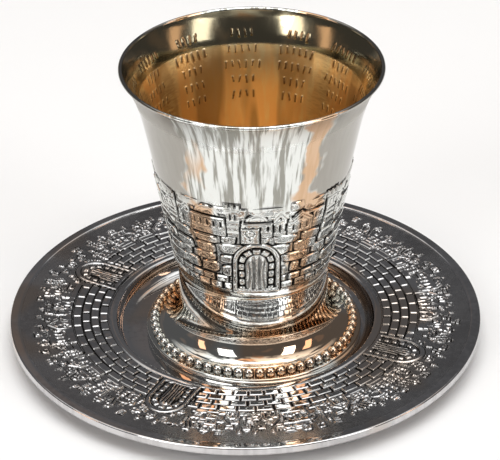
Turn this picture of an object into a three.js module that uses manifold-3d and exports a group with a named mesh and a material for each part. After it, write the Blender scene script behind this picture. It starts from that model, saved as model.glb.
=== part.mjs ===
// Kiddush cup standing in the well of its saucer: silver-plated sheet metal with a stamped town relief.
// Millimetres, +Z up. The origin is on the saucer's axis, in the plane that it stands on.
import * as THREE from 'three';
import { mergeVertices } from 'three/addons/utils/BufferGeometryUtils.js';
import Module from 'manifold-3d';

const wasm = await Module();
wasm.setup();

// ---- Saucer ----
const SHEET = 1.0; // thickness of its metal
const SAUCER_RADIUS = 70;
const SAUCER_HEIGHT = 7.5; // top of the raised border
const BORDER_WIDTH = 3.1;
const BORDER_RISE = 0.45; // above the relief's ground
const BORDER_EDGE = 0.5; // rounding of the border's edges
const SKIRT_HEIGHT = 2.2; // outer wall of the border
const WELL_RADIUS = 34.8; // flat floor of the well
const WELL_ROUND = 1.2; // width of the round between its floor and its wall
const RING_INNER = 38.4; // the smooth ring round the well
const RING_OUTER = 40.9; // where the relief begins
const RING_HEIGHT = 6.2; // top of the smooth ring at its outer edge
const RING_FALL = 0.5; // from its outer edge to its inner edge

const SAUCER_BRICKS = 60; // round each course
const SAUCER_COURSES = 4;
const SAUCER_COURSE_HEIGHT = 2.65;
const SAUCER_RELIEF = 0.45; // how far stones stand over their joints
const SAUCER_GATES = 4;
const SAUCER_GATE_TURN = 64; // degrees from +X to the first gate
const SAUCER_GATE = { width: 12.4, height: 16.4, frame: 1.6 };
const SAUCER_GATE_FOLDS = 2;

// ---- Cup, heights measured from the foot's underside ----
const CUP_OFFSET = [2.5, -0.4]; // it stands a little off the saucer's axis
const WALL = 1.2; // thickness of its metal
const CUP_HEIGHT = 88.4;
const RIM_ROUND = 0.6; // radius of the rolled lip
const WAIST_HEIGHT = 24.8; // bottom edge of the bowl
const WAIST_RADIUS = 22.4;
const CONE_SPREAD = 11.5; // growth of the bowl's radius by its even taper
const RIM_FLARE = 3.6; // growth added close to the rim
const FLARE_POWER = 11; // how late that growth comes
const FLOOR_THICKNESS = 1.4;
const FLOOR_FILLET = 2.4;
const NECK_RADIUS = 22.0;
const NECK_BASE = 12.1;
const COVE_WIDTH = 6.0; // the concave flare below the neck
const COVE_HEIGHT = 8.6;
const FOOT_RADIUS = 32.0;
const FOOT_LIP_HEIGHT = 3.0;
const FOOT_LIP_ROUND = 0.3;
const BEAD_COUNT = 60;
const BEAD_CIRCLE = 29.6;
const BEAD_RADIUS = 1.45;
const BEAD_HEIGHT = 4.1; // centre of the beads
const BEAD_SHOULDER = 0.55; // half width of a bead's flat top, in bead radii
const BEAD_WAIST = 0.45; // section left between two beads

const GROUND_BAND = 2.9; // plain band between the waist and the first course
const CUP_BRICKS = 36; // round each low course
const CUP_BRICK_COURSES = 2;
const CUP_BRICK_HEIGHT = 2.6;
const CUP_STONES = 24; // round each high course
const CUP_STONE_COURSES = 2;
const CUP_STONE_HEIGHT = 7.4;
const CUP_JOINT = 0.5; // width of a joint between stones
const CUP_RELIEF = 0.6; // how far stones stand over their joints
const UNEVEN = 0.2; // share by which one stone stands prouder than another
const STONE_STEP = 12.9; // radians of unevenness from one stone to the next
const COURSE_STEP = 78.2; // and from one course to the next
const CUP_GATES = 2;
const CUP_GATE_TURN = -88; // degrees from +X to the gate in front
const CUP_GATE = { width: 13.6, height: 18.6, frame: 1.7 };
const CUP_GATE_FOLDS = 1;
const FLARE_STEPS = [0.5, 0.75, 0.9, 1]; // shares of the way from the relief up to the rim
const INSIDE_STEPS = [1, 0.9, 0.75, 0.45]; // shares of the way from the floor up to the rim

// ---- Forms of the relief ----
const ARCH_RISE = 1.1; // height of a pointed arch, in half widths
const ARCH_STEPS = [0, 0.4, 0.75]; // shares of each side of it
const HANGING_LIFT = 0.7; // share of the gate's relief that its hanging has
const DOME_SPAN = 0.8; // share of a house's width
const EAVES_SHARE = 0.6; // share of a gabled house's height
const TREE_SHOULDERS = [[1, 0.25], [0.7, 0.6]]; // its outline, in half widths and in heights

// ---- Faceting ----
const SAUCER_FACES = 40; // round its plain turned form
const CUP_FACES = 36;
const BOWL_COLUMNS = 72; // round the bowl's stones
const COLUMNS_PER_BRICK = 2; // one at the joint, one at the middle
const ARC_STEPS = 3; // flats on each curved stretch
const EMBED = 0.4; // how deep applied relief runs into the metal under it
const LAP = 0.15; // how far a form runs past the edge that it stands on

const SILVER = new THREE.MeshStandardMaterial({ color: 0xd8d6d0, roughness: 0.12, metalness: 1 });
const DARK_SILVER = new THREE.MeshStandardMaterial({ color: 0x8f8d8b, roughness: 0.16, metalness: 1 });

const RIM_RADIUS = WAIST_RADIUS + CONE_SPREAD + RIM_FLARE;
const COVE_BASE = NECK_BASE - COVE_HEIGHT;
const INNER_FLOOR = WAIST_HEIGHT + FLOOR_THICKNESS;
const FIELD_OUTER = SAUCER_RADIUS - BORDER_WIDTH;
const FIELD_HEIGHT = SAUCER_HEIGHT - BORDER_RISE;
const BRICKS_OUTER = RING_OUTER + SAUCER_COURSES * SAUCER_COURSE_HEIGHT;
const MASONRY_BASE = WAIST_HEIGHT + GROUND_BAND;
const STONES_BASE = MASONRY_BASE + CUP_BRICK_COURSES * CUP_BRICK_HEIGHT;
const MASONRY_TOP = STONES_BASE + CUP_STONE_COURSES * CUP_STONE_HEIGHT;

const UP = new THREE.Vector3(0, 0, 1);
const radians = THREE.MathUtils.degToRad;

// ---- Solids ----

// A closed geometry as a manifold-3d solid.
function solidOf(geometry) {
  const bare = new THREE.BufferGeometry();
  bare.setAttribute('position', geometry.getAttribute('position'));
  bare.setIndex(geometry.index);
  const merged = mergeVertices(bare, 1e-3);
  return new wasm.Manifold(new wasm.Mesh({
    numProp: 3,
    vertProperties: merged.attributes.position.array,
    triVerts: new Uint32Array(merged.index.array),
  }));
}

function geometryOf(solid) {
  const { vertProperties, triVerts } = solid.getMesh();
  const geometry = new THREE.BufferGeometry();
  geometry.setAttribute('position', new THREE.BufferAttribute(vertProperties, 3));
  geometry.setIndex(new THREE.BufferAttribute(triVerts, 1));
  const faceted = geometry.toNonIndexed();
  faceted.computeVertexNormals();
  return faceted;
}

function joined(base, additions) {
  return additions.reduce((whole, geometry) => whole.add(solidOf(geometry)), base);
}

// A ring of points round +Z. Its lift, a function of the angle in degrees, pushes a point out and up.
function ring(faces, [radius, height], lift = () => [0, 0]) {
  return Array.from({ length: faces }, (_, i) => {
    const [out, up] = lift(i * 360 / faces);
    const direction = new THREE.Vector3(radius + out, 0, height + up);
    return direction.applyAxisAngle(UP, i * 2 * Math.PI / faces);
  });
}

function rings(faces, profile) {
  return profile.map((point) => ring(faces, point));
}

// A closed skin over rings that run from the middle of the underside, out, up and in to the middle of
// the top. Two neighbours may have different numbers of points: they are zipped together by angle.
function skinned(under, stack, over) {
  const all = [[new THREE.Vector3(0, 0, under)], ...stack, [new THREE.Vector3(0, 0, over)]];
  const faces = [];
  let first = 0;
  for (let i = 0; i + 1 < all.length; i += 1) {
    const [low, high] = [all[i].length, all[i + 1].length];
    const next = first + low;
    let [a, b] = [0, 0];
    while ((low > 1 && a < low) || (high > 1 && b < high)) {
      const advanceLow = high === 1 || (low > 1 && (a + 1) / low <= (b + 1) / high);
      const here = [first + a % low, next + b % high];
      if (advanceLow) a += 1;
      else b += 1;
      faces.push(here[0], advanceLow ? first + a % low : next + b % high, here[1]);
    }
    first = next;
  }
  const geometry = new THREE.BufferGeometry().setFromPoints(all.flat());
  return geometry.setIndex(faces);
}

// Moves every vertex of a geometry through a function of its position.
function reshaped(geometry, move) {
  const position = geometry.getAttribute('position');
  const point = new THREE.Vector3();
  for (let i = 0; i < position.count; i += 1) {
    move(point.fromBufferAttribute(position, i));
    position.setXYZ(i, point.x, point.y, point.z);
  }
  return geometry;
}

// Points on an ellipse's arc, as [radius, height], from one angle to another in degrees.
function arc(centre, sizes, from, to, steps = ARC_STEPS) {
  return Array.from({ length: steps + 1 }, (_, i) => {
    const angle = radians(THREE.MathUtils.lerp(from, to, i / steps));
    return [centre[0] + sizes[0] * Math.cos(angle), centre[1] + sizes[1] * Math.sin(angle)];
  });
}

// ---- Surfaces that carry relief ----

function fieldHeight(radius) {
  return THREE.MathUtils.mapLinear(radius, RING_OUTER, FIELD_OUTER, RING_HEIGHT, FIELD_HEIGHT);
}

function bowlRadius(height) {
  const share = (height - WAIST_HEIGHT) / (CUP_HEIGHT - RIM_ROUND - WAIST_HEIGHT);
  return WAIST_RADIUS + CONE_SPREAD * share + RIM_FLARE * share ** FLARE_POWER;
}

// Lays a form drawn flat (x across, y up, z standing out) on the saucer, its foot at a radius.
function onSaucer(geometry, turn, radius) {
  geometry.rotateZ(-Math.PI / 2).translate(radius, 0, 0);
  reshaped(geometry, (point) => {
    point.z += fieldHeight(Math.hypot(point.x, point.y)) - EMBED;
  });
  return geometry.rotateZ(radians(turn));
}

// Wraps a form drawn flat round the bowl, its foot at a height.
function onBowl(geometry, turn, height) {
  return reshaped(geometry, (point) => {
    const angle = radians(turn) + point.x / bowlRadius(height);
    const radius = bowlRadius(height + point.y) + point.z - EMBED;
    point.set(radius * Math.cos(angle), radius * Math.sin(angle), height + point.y);
  });
}

// ---- Forms of the relief, drawn flat with the middle of the foot at the origin ----

function raised(shape, lift) {
  const depth = lift + EMBED;
  return new THREE.ExtrudeGeometry(shape, { depth, bevelEnabled: false, curveSegments: ARC_STEPS });
}

// The outline of an opening with a pointed arch.
function archPoints(width, height) {
  const half = width / 2;
  const spring = height - half * ARCH_RISE;
  const side = ARCH_STEPS.map((share) => [half * Math.cos(share * Math.PI / 2),
    spring + (height - spring) * Math.sin(share * Math.PI / 2)]);
  const right = [[half, 0], ...side];
  const left = right.map(([x, y]) => [-x, y]).reverse();
  return [...right, [0, height], ...left].map(([x, y]) => new THREE.Vector2(x, y));
}

function gateFrame({ width, height, frame }, lift) {
  const shape = new THREE.Shape(archPoints(width, height));
  const inner = archPoints(width - 2 * frame, height - 2 * frame);
  shape.holes.push(new THREE.Path(inner.map((point) => point.add(new THREE.Vector2(0, frame)))));
  return raised(shape, lift);
}

// Upright folds of the hanging inside a gate.
function gateFolds({ width, height, frame }, count, lift) {
  const pitch = (width - 2 * frame) / (2 * count + 1);
  const tall = height - 2 * frame - width / 3;
  return Array.from({ length: count }, (_, i) => (
    raised(rectangle(pitch, tall), lift).translate((2 * i - count + 1) * pitch, frame, 0)
  ));
}

function rectangle(width, height) {
  const half = width / 2;
  return new THREE.Shape([[-half, 0], [half, 0], [half, height], [-half, height]]
    .map(([x, y]) => new THREE.Vector2(x, y)));
}

function domedHouse(width, height) {
  const half = width / 2;
  const eaves = height - half * DOME_SPAN;
  const shape = new THREE.Shape();
  shape.moveTo(-half, 0).lineTo(half, 0).lineTo(half, eaves).lineTo(half * DOME_SPAN, eaves);
  shape.absarc(0, eaves, half * DOME_SPAN, 0, Math.PI);
  shape.lineTo(-half, eaves);
  return shape;
}

function gabledHouse(width, height) {
  const half = width / 2;
  const eaves = height * EAVES_SHARE;
  return new THREE.Shape([[-half, 0], [half, 0], [half, eaves], [0, height], [-half, eaves]]
    .map(([x, y]) => new THREE.Vector2(x, y)));
}

// A tower with two merlons.
function tower(width, height) {
  const half = width / 2;
  const sill = height - half / 2;
  return new THREE.Shape([[-half, 0], [half, 0], [half, height], [half / 3, height], [half / 3, sill],
    [-half / 3, sill], [-half / 3, height], [-half, height]].map(([x, y]) => new THREE.Vector2(x, y)));
}

function cypress(width, height) {
  const right = TREE_SHOULDERS.map(([out, up]) => [out * width / 2, up * height]);
  const left = right.map(([x, y]) => [-x, y]).reverse();
  return new THREE.Shape([[0, 0], ...right, [0, height], ...left].map(([x, y]) => new THREE.Vector2(x, y)));
}

// True inside a gate's outline, for a place measured across and up from the middle of its foot.
function insideGate({ width, height }, across, up) {
  const half = width / 2;
  const spring = height - half;
  return Math.abs(across) < half && up < spring + Math.sqrt(Math.max(0, half ** 2 - across ** 2));
}

// Distance in degrees from an angle to the nearest of some gates spread evenly round.
function fromGate(angle, firstTurn, gates) {
  const pitch = 360 / gates;
  return THREE.MathUtils.euclideanModulo(angle - firstTurn + pitch / 2, pitch) - pitch / 2;
}

// A steady unevenness from -1 to 1 for a stone, from its place in its course.
function unevenness(stone, course) {
  return Math.sin(stone * STONE_STEP + course * COURSE_STEP);
}

// ---- Saucer ----

// How far a course of stone stands up at an angle. Its joints are in bond with the next course's.
function saucerLift(course, radius, angle) {
  const column = Math.round(angle / 360 * SAUCER_BRICKS * COLUMNS_PER_BRICK);
  const across = radius * radians(fromGate(angle, SAUCER_GATE_TURN, SAUCER_GATES));
  const joint = (column + course) % COLUMNS_PER_BRICK === 0;
  return joint || insideGate(SAUCER_GATE, across, radius - RING_OUTER) ? 0 : SAUCER_RELIEF;
}

// The courses of stone round the ring, from the outermost joint to the innermost.
function saucerCourses() {
  const columns = SAUCER_BRICKS * COLUMNS_PER_BRICK;
  const courses = [];
  for (let course = SAUCER_COURSES - 1; course >= 0; course -= 1) {
    const joint = RING_OUTER + (course + 1) * SAUCER_COURSE_HEIGHT;
    const middle = joint - SAUCER_COURSE_HEIGHT / 2;
    courses.push(ring(columns, [joint, fieldHeight(joint)]));
    const lift = (angle) => [0, saucerLift(course, middle, angle)];
    courses.push(ring(columns, [middle, fieldHeight(middle)], lift));
  }
  courses.push(ring(columns, [RING_OUTER, RING_HEIGHT]));
  return courses;
}

function saucerBody() {
  const skirtFoot = SAUCER_HEIGHT - SKIRT_HEIGHT;
  const underside = [
    [WELL_RADIUS + SHEET / 3, 0],
    [WELL_RADIUS + 2 * SHEET, SHEET],
    [RING_INNER, RING_HEIGHT / 2],
    [RING_INNER + SHEET / 2, RING_HEIGHT - RING_FALL - SHEET],
    [FIELD_OUTER, FIELD_HEIGHT - SHEET],
    [SAUCER_RADIUS - SHEET, SAUCER_HEIGHT - SHEET],
    [SAUCER_RADIUS - SHEET, skirtFoot],
  ];
  const border = [
    [SAUCER_RADIUS, skirtFoot],
    [SAUCER_RADIUS, SAUCER_HEIGHT - BORDER_EDGE],
    [SAUCER_RADIUS - BORDER_EDGE, SAUCER_HEIGHT],
    [FIELD_OUTER + BORDER_EDGE, SAUCER_HEIGHT],
    [FIELD_OUTER, FIELD_HEIGHT],
  ];
  const well = [
    [RING_INNER, RING_HEIGHT - RING_FALL],
    [RING_INNER - SHEET, RING_HEIGHT / 2],
    [WELL_RADIUS + WELL_ROUND, SHEET + WELL_ROUND / 2],
    [WELL_RADIUS, SHEET],
  ];
  const plain = (profile) => rings(SAUCER_FACES, profile);
  return skinned(0, [...plain(underside), ...plain(border), ...saucerCourses(), ...plain(well)], SHEET);
}

// A gate of the town wall: its frame and the folds inside it.
function gate(sizes, folds, lift) {
  return [gateFrame(sizes, lift), ...gateFolds(sizes, folds, lift * HANGING_LIFT)];
}

// The houses, towers and trees between two gates, as [form, degrees past the gate, width, height].
const SAUCER_TOWN = [
  [tower, 16, 4.6, 10],
  [cypress, 27, 2.4, 9],
  [domedHouse, 40, 8, 11],
  [gabledHouse, 55, 6, 7.5],
  [tower, 70, 6, 8.5],
];

function saucer() {
  const gates = [];
  const town = [];
  for (let i = 0; i < SAUCER_GATES; i += 1) {
    const turn = SAUCER_GATE_TURN + i * 360 / SAUCER_GATES;
    gates.push(...gate(SAUCER_GATE, SAUCER_GATE_FOLDS, SAUCER_RELIEF)
      .map((form) => onSaucer(form, turn, RING_OUTER + LAP)));
    town.push(...SAUCER_TOWN.map(([form, past, width, height]) => (
      onSaucer(raised(form(width, height), SAUCER_RELIEF), turn + past, BRICKS_OUTER - LAP)
    )));
  }
  return joined(solidOf(saucerBody()), [...gates, ...town]);
}

// ---- Cup ----

// The courses of the town wall, from the ground up: stones in each round, and how tall they are.
const BOWL_COURSES = [
  ...Array(CUP_BRICK_COURSES).fill({ stones: CUP_BRICKS, height: CUP_BRICK_HEIGHT }),
  ...Array(CUP_STONE_COURSES).fill({ stones: CUP_STONES, height: CUP_STONE_HEIGHT }),
];

// How far the bowl's wall stands out at a place in one of its courses.
function bowlLift(course, stones, angle, height) {
  const columns = BOWL_COLUMNS / stones;
  const column = Math.round((angle / 360 + 1) * BOWL_COLUMNS) + course * Math.ceil(columns / 2);
  const across = bowlRadius(MASONRY_BASE) * radians(fromGate(angle, CUP_GATE_TURN, CUP_GATES));
  if (column % columns === 0 || insideGate(CUP_GATE, across, height - MASONRY_BASE)) return 0;
  const stone = Math.floor(column / columns) % stones;
  return CUP_RELIEF * (1 + UNEVEN * unevenness(stone, course));
}

// The courses of stone round the bowl, from the lowest joint to the highest.
function bowlWall() {
  const wall = [];
  let foot = MASONRY_BASE;
  BOWL_COURSES.forEach(({ stones, height: tall }, course) => {
    const edges = tall > CUP_BRICK_HEIGHT ? [foot + CUP_JOINT, foot + tall - CUP_JOINT] : [foot + tall / 2];
    wall.push(ring(BOWL_COLUMNS, [bowlRadius(foot), foot]));
    edges.forEach((height) => {
      const lift = (angle) => [bowlLift(course, stones, angle, height), 0];
      wall.push(ring(BOWL_COLUMNS, [bowlRadius(height), height], lift));
    });
    foot += tall;
  });
  wall.push(ring(BOWL_COLUMNS, [bowlRadius(foot), foot]));
  return wall;
}

// The ring of beads, from its outer foot to its inner one. It stands full at each bead and sinks between two.
function beads() {
  const shoulder = BEAD_RADIUS * BEAD_SHOULDER;
  const rise = BEAD_HEIGHT + BEAD_RADIUS - COVE_BASE;
  const columns = BEAD_COUNT * COLUMNS_PER_BRICK;
  return [[BEAD_RADIUS, 0], [shoulder, rise], [-shoulder, rise], [-BEAD_RADIUS, 0]].map(([out, up]) => {
    const sunk = [-out * (1 - BEAD_WAIST), -up * (1 - BEAD_WAIST)];
    const between = (angle) => Math.round(angle / 360 * columns) % COLUMNS_PER_BRICK !== 0;
    return ring(columns, [BEAD_CIRCLE + out, COVE_BASE + up], (angle) => (between(angle) ? sunk : [0, 0]));
  });
}

// The metal of the cup, with its hollow bowl and its hollow foot.
function cupBody() {
  const coveCentre = [NECK_RADIUS + COVE_WIDTH, NECK_BASE];
  const rimHeight = CUP_HEIGHT - RIM_ROUND;
  const innerFoot = INNER_FLOOR + FLOOR_FILLET;
  const floorEdge = bowlRadius(innerFoot) - WALL - FLOOR_FILLET;
  const between = (from, share) => THREE.MathUtils.lerp(from, rimHeight, share);
  const foot = [
    [NECK_RADIUS - WALL, WAIST_HEIGHT],
    ...arc(coveCentre, [-COVE_WIDTH - WALL, -COVE_HEIGHT - WALL], 0, 90),
    [FOOT_RADIUS - WALL, COVE_BASE - WALL],
    [FOOT_RADIUS - WALL, 0],
    [FOOT_RADIUS - FOOT_LIP_ROUND, 0],
    [FOOT_RADIUS, FOOT_LIP_ROUND],
    [FOOT_RADIUS, FOOT_LIP_HEIGHT - FOOT_LIP_ROUND],
  ];
  const neck = [
    ...arc(coveCentre, [-COVE_WIDTH, -COVE_HEIGHT], 80, 0),
    [NECK_RADIUS, WAIST_HEIGHT - WALL / 2],
    [WAIST_RADIUS, WAIST_HEIGHT],
  ];
  const flare = FLARE_STEPS.map((share) => between(MASONRY_TOP, share));
  const inside = INSIDE_STEPS.map((share) => between(innerFoot, share));
  const plain = (profile) => rings(CUP_FACES, profile);
  return skinned(WAIST_HEIGHT, [
    ...plain(foot),
    ...beads(),
    ...plain(neck),
    ...bowlWall(),
    ...plain(flare.map((height) => [bowlRadius(height), height])),
    ...plain([[RIM_RADIUS - RIM_ROUND, CUP_HEIGHT]]),
    ...plain(inside.map((height) => [bowlRadius(height) - WALL, height])),
    ...plain(arc([floorEdge, innerFoot], [FLOOR_FILLET, FLOOR_FILLET], 0, -90, 2)),
  ], INNER_FLOOR);
}

// The town over the wall, as [form, degrees past the gate, width, height].
const CUP_TOWN = [
  [domedHouse, 0, 9, 9],
  [gabledHouse, 27, 8, 8],
  [tower, 50, 6, 11],
  [domedHouse, 74, 10, 9],
  [gabledHouse, 98, 9, 9],
  [tower, 122, 6, 10],
  [domedHouse, 150, 11, 11],
];

function cup() {
  const gates = [];
  const town = [];
  for (let i = 0; i < CUP_GATES; i += 1) {
    const turn = CUP_GATE_TURN + i * 360 / CUP_GATES;
    gates.push(...gate(CUP_GATE, CUP_GATE_FOLDS, CUP_RELIEF).map((form) => onBowl(form, turn, MASONRY_BASE)));
    town.push(...CUP_TOWN.map(([form, past, width, height]) => (
      onBowl(raised(form(width, height), CUP_RELIEF), turn + past, MASONRY_TOP - LAP)
    )));
  }
  return joined(solidOf(cupBody()), [...gates, ...town]);
}

// ---- The set ----

const set = new THREE.Group();

const saucerMesh = new THREE.Mesh(geometryOf(saucer()), DARK_SILVER);
saucerMesh.name = 'saucer';
set.add(saucerMesh);

const cupMesh = new THREE.Mesh(geometryOf(cup()), SILVER);
cupMesh.name = 'cup';
cupMesh.position.set(CUP_OFFSET[0], CUP_OFFSET[1], SHEET);
set.add(cupMesh);

export default set;
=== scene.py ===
"""Dresses the kiddush cup and its saucer: stamped relief, beads, gilt lining and polished plate."""

import logging
import math
from collections.abc import Callable, Sequence
from dataclasses import dataclass, field, replace
from enum import Enum

import bpy
import numpy as np
from mathutils import Matrix, Vector


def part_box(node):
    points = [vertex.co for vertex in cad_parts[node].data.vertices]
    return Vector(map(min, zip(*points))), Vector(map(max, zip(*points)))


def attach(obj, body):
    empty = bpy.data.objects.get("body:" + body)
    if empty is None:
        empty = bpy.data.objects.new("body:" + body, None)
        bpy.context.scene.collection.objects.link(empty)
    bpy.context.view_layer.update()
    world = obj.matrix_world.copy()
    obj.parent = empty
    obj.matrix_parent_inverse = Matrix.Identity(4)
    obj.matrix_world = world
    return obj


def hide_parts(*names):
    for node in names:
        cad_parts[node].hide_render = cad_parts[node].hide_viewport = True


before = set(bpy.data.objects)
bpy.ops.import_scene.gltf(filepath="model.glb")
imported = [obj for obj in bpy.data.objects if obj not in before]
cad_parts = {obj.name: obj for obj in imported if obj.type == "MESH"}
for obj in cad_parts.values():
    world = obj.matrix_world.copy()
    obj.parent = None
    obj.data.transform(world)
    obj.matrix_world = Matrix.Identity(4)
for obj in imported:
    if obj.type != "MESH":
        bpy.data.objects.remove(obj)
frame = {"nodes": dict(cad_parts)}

LOG = logging.getLogger("kiddush_cup")
MM = 0.001
FULL_TURN = 360.0
SEED = 613
# How high an arch's head is, for each millimetre of its half width.
ARCH_RISE = 1.1
# How far round a form its cells are worked out, in millimetres, so that one that leans or swells still fits.
LEANING_ROOM = 0.6

Array = np.ndarray
Pair = tuple[float, float]
Profile = list[Pair]
Triple = tuple[float, float, float]
Colour = Triple


class Plate(Enum):
    """The material slots of the record that the pieces take their finish from."""

    SILVER = "silver"
    DARK_SILVER = "dark_silver"
    GILT = "gilt"


Dressed = list[tuple[bpy.types.Object, Plate]]


# ---------------------------------------------------------------- shader writing


class Socket:
    """A value socket of a material's nodes, so that shader maths reads as Python."""

    def __init__(self, nodes: "Nodes", link: bpy.types.NodeSocket) -> None:
        """Wraps an output socket of a node tree."""
        self.nodes = nodes
        self.link = link

    def _maths(self, operation: str, *values: "Socket | float") -> "Socket":
        """Adds one Math node that works on these values."""
        return self.nodes.add("ShaderNodeMath", {"operation": operation}, dict(enumerate(values)))

    def __add__(self, other: "Socket | float") -> "Socket":
        """Adds a value."""
        return self._maths("ADD", self, other)

    def __radd__(self, other: float) -> "Socket":
        """Adds this to a number."""
        return self._maths("ADD", other, self)

    def __sub__(self, other: "Socket | float") -> "Socket":
        """Takes a value away."""
        return self._maths("SUBTRACT", self, other)

    def __rsub__(self, other: float) -> "Socket":
        """Takes this away from a number."""
        return self._maths("SUBTRACT", other, self)

    def __mul__(self, other: "Socket | float") -> "Socket":
        """Multiplies by a value."""
        return self._maths("MULTIPLY", self, other)

    def __rmul__(self, other: float) -> "Socket":
        """Multiplies a number by this."""
        return self._maths("MULTIPLY", other, self)

    def __abs__(self) -> "Socket":
        """Drops the sign."""
        return self._maths("ABSOLUTE", self)

    def clipped(self) -> "Socket":
        """Keeps the value between 0 and 1."""
        return self.nodes.add("ShaderNodeClamp", {}, {"Value": self})

    def past(self, level: float, steepness: float) -> "Socket":
        """Rises from 0 at a level to 1, this steeply."""
        return ((self - level) * steepness).clipped()


@dataclass(frozen=True)
class Waves:
    """Unevenness: its waves for each unit of length, how much tighter along each axis, and how many finer."""

    scale: float
    stretch: Triple = (1, 1, 1)
    detail: float = 3.0


class Nodes:
    """A node tree that is written as expressions."""

    # The numbers of a Mix node's colour sockets, whose names are those of its other sockets too.
    MIX_COLOURS = (6, 7)
    MIX_RESULT = 2

    def __init__(self, tree: bpy.types.NodeTree) -> None:
        """Takes over a tree, and clears it."""
        self.tree = tree
        self.tree.nodes.clear()

    def feed(self, target: bpy.types.NodeSocket, value: Socket | float | Sequence[float]) -> None:
        """Links or sets one input.

        Args:
            target: The input socket.
            value: What goes in: another socket, a number or a colour.
        """
        if isinstance(value, Socket):
            self.tree.links.new(value.link, target)
        else:
            target.default_value = value

    def node(self, kind: str, settings: dict, inputs: dict) -> bpy.types.Node:
        """Adds any node.

        Args:
            kind: The node's type.
            settings: Its own settings, set before the inputs.
            inputs: The values or links of its inputs, by name or number.

        Returns:
            The node.
        """
        node = self.tree.nodes.new(kind)
        for key, value in settings.items():
            setattr(node, key, value)
        for key, value in inputs.items():
            self.feed(node.inputs[key], value)
        return node

    def add(self, kind: str, settings: dict, inputs: dict, output: int | str = 0) -> Socket:
        """Adds any node, and hands back one of its outputs."""
        return Socket(self, self.node(kind, settings, inputs).outputs[output])

    def vector(
        self, operation: str, first: Socket, second: Socket | Triple = (0, 0, 0), output: int | str = 0
    ) -> Socket:
        """Adds one Vector Math node, and hands back one of its outputs."""
        return self.add("ShaderNodeVectorMath", {"operation": operation}, {0: first, 1: second}, output)

    def waves(self, place: Socket, waves: Waves) -> Socket:
        """Wanders between 0 and 1 from place to place.

        Args:
            place: The place.
            waves: The waves that it wanders in.

        Returns:
            The unevenness.
        """
        if waves.stretch != (1, 1, 1):
            place = self.vector("MULTIPLY", place, waves.stretch)
        inputs = {"Vector": place, "Scale": waves.scale, "Detail": waves.detail}
        return self.add("ShaderNodeTexNoise", {}, inputs)

    def place(self) -> Socket:
        """The place on the object, in metres."""
        return self.add("ShaderNodeTexCoord", {}, {}, "Object")

    def noise(self, waves: Waves) -> Socket:
        """Unevenness over the surface, from 0 to 1."""
        return self.waves(self.place(), waves)

    def mix(self, share: Socket, low: Socket | Colour, high: Socket | Colour) -> Socket:
        """Mixes two colours.

        Args:
            share: How much of the second there is.
            low: The first colour.
            high: The second colour.

        Returns:
            The mixed colour.
        """
        inputs = {0: share}
        for number, colour in zip(self.MIX_COLOURS, (low, high)):
            inputs[number] = colour if isinstance(colour, Socket) else (*colour, 1.0)
        return self.add("ShaderNodeMix", {"data_type": "RGBA"}, inputs, self.MIX_RESULT)

    def attribute(self, name: str) -> Socket:
        """Reads a value that the mesh carries at its points."""
        return self.add("ShaderNodeAttribute", {"attribute_name": name}, {}, "Fac")


class Dressing(Nodes):
    """The nodes of one material, with the shader that its finish ends in."""

    def __init__(self, name: str, metallic: float = 1.0) -> None:
        """Starts an empty material.

        Args:
            name: The material's name.
            metallic: 1 for metal, 0 for anything else.
        """
        self.material = bpy.data.materials.new(name)
        self.material.use_nodes = True
        super().__init__(self.material.node_tree)
        self.shader = self.node("ShaderNodeBsdfPrincipled", {}, {"Metallic": metallic})
        self.node("ShaderNodeOutputMaterial", {}, {"Surface": Socket(self, self.shader.outputs[0])})

    def finish(
        self, colour: Socket, roughness: Socket, height: Socket | None = None, depth: float = 0.0
    ) -> bpy.types.Material:
        """Ends the material in its shader.

        Args:
            colour: The base colour.
            roughness: The roughness.
            height: The fine relief, where there is any.
            depth: How deep a fine relief of 1 is, in metres.

        Returns:
            The material.
        """
        self.feed(self.shader.inputs["Base Color"], colour)
        self.feed(self.shader.inputs["Roughness"], roughness)
        if height is not None:
            bump = self.add("ShaderNodeBump", {}, {"Height": height, "Distance": depth, "Strength": 1.0})
            self.feed(self.shader.inputs["Normal"], bump)
        return self.material


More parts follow.
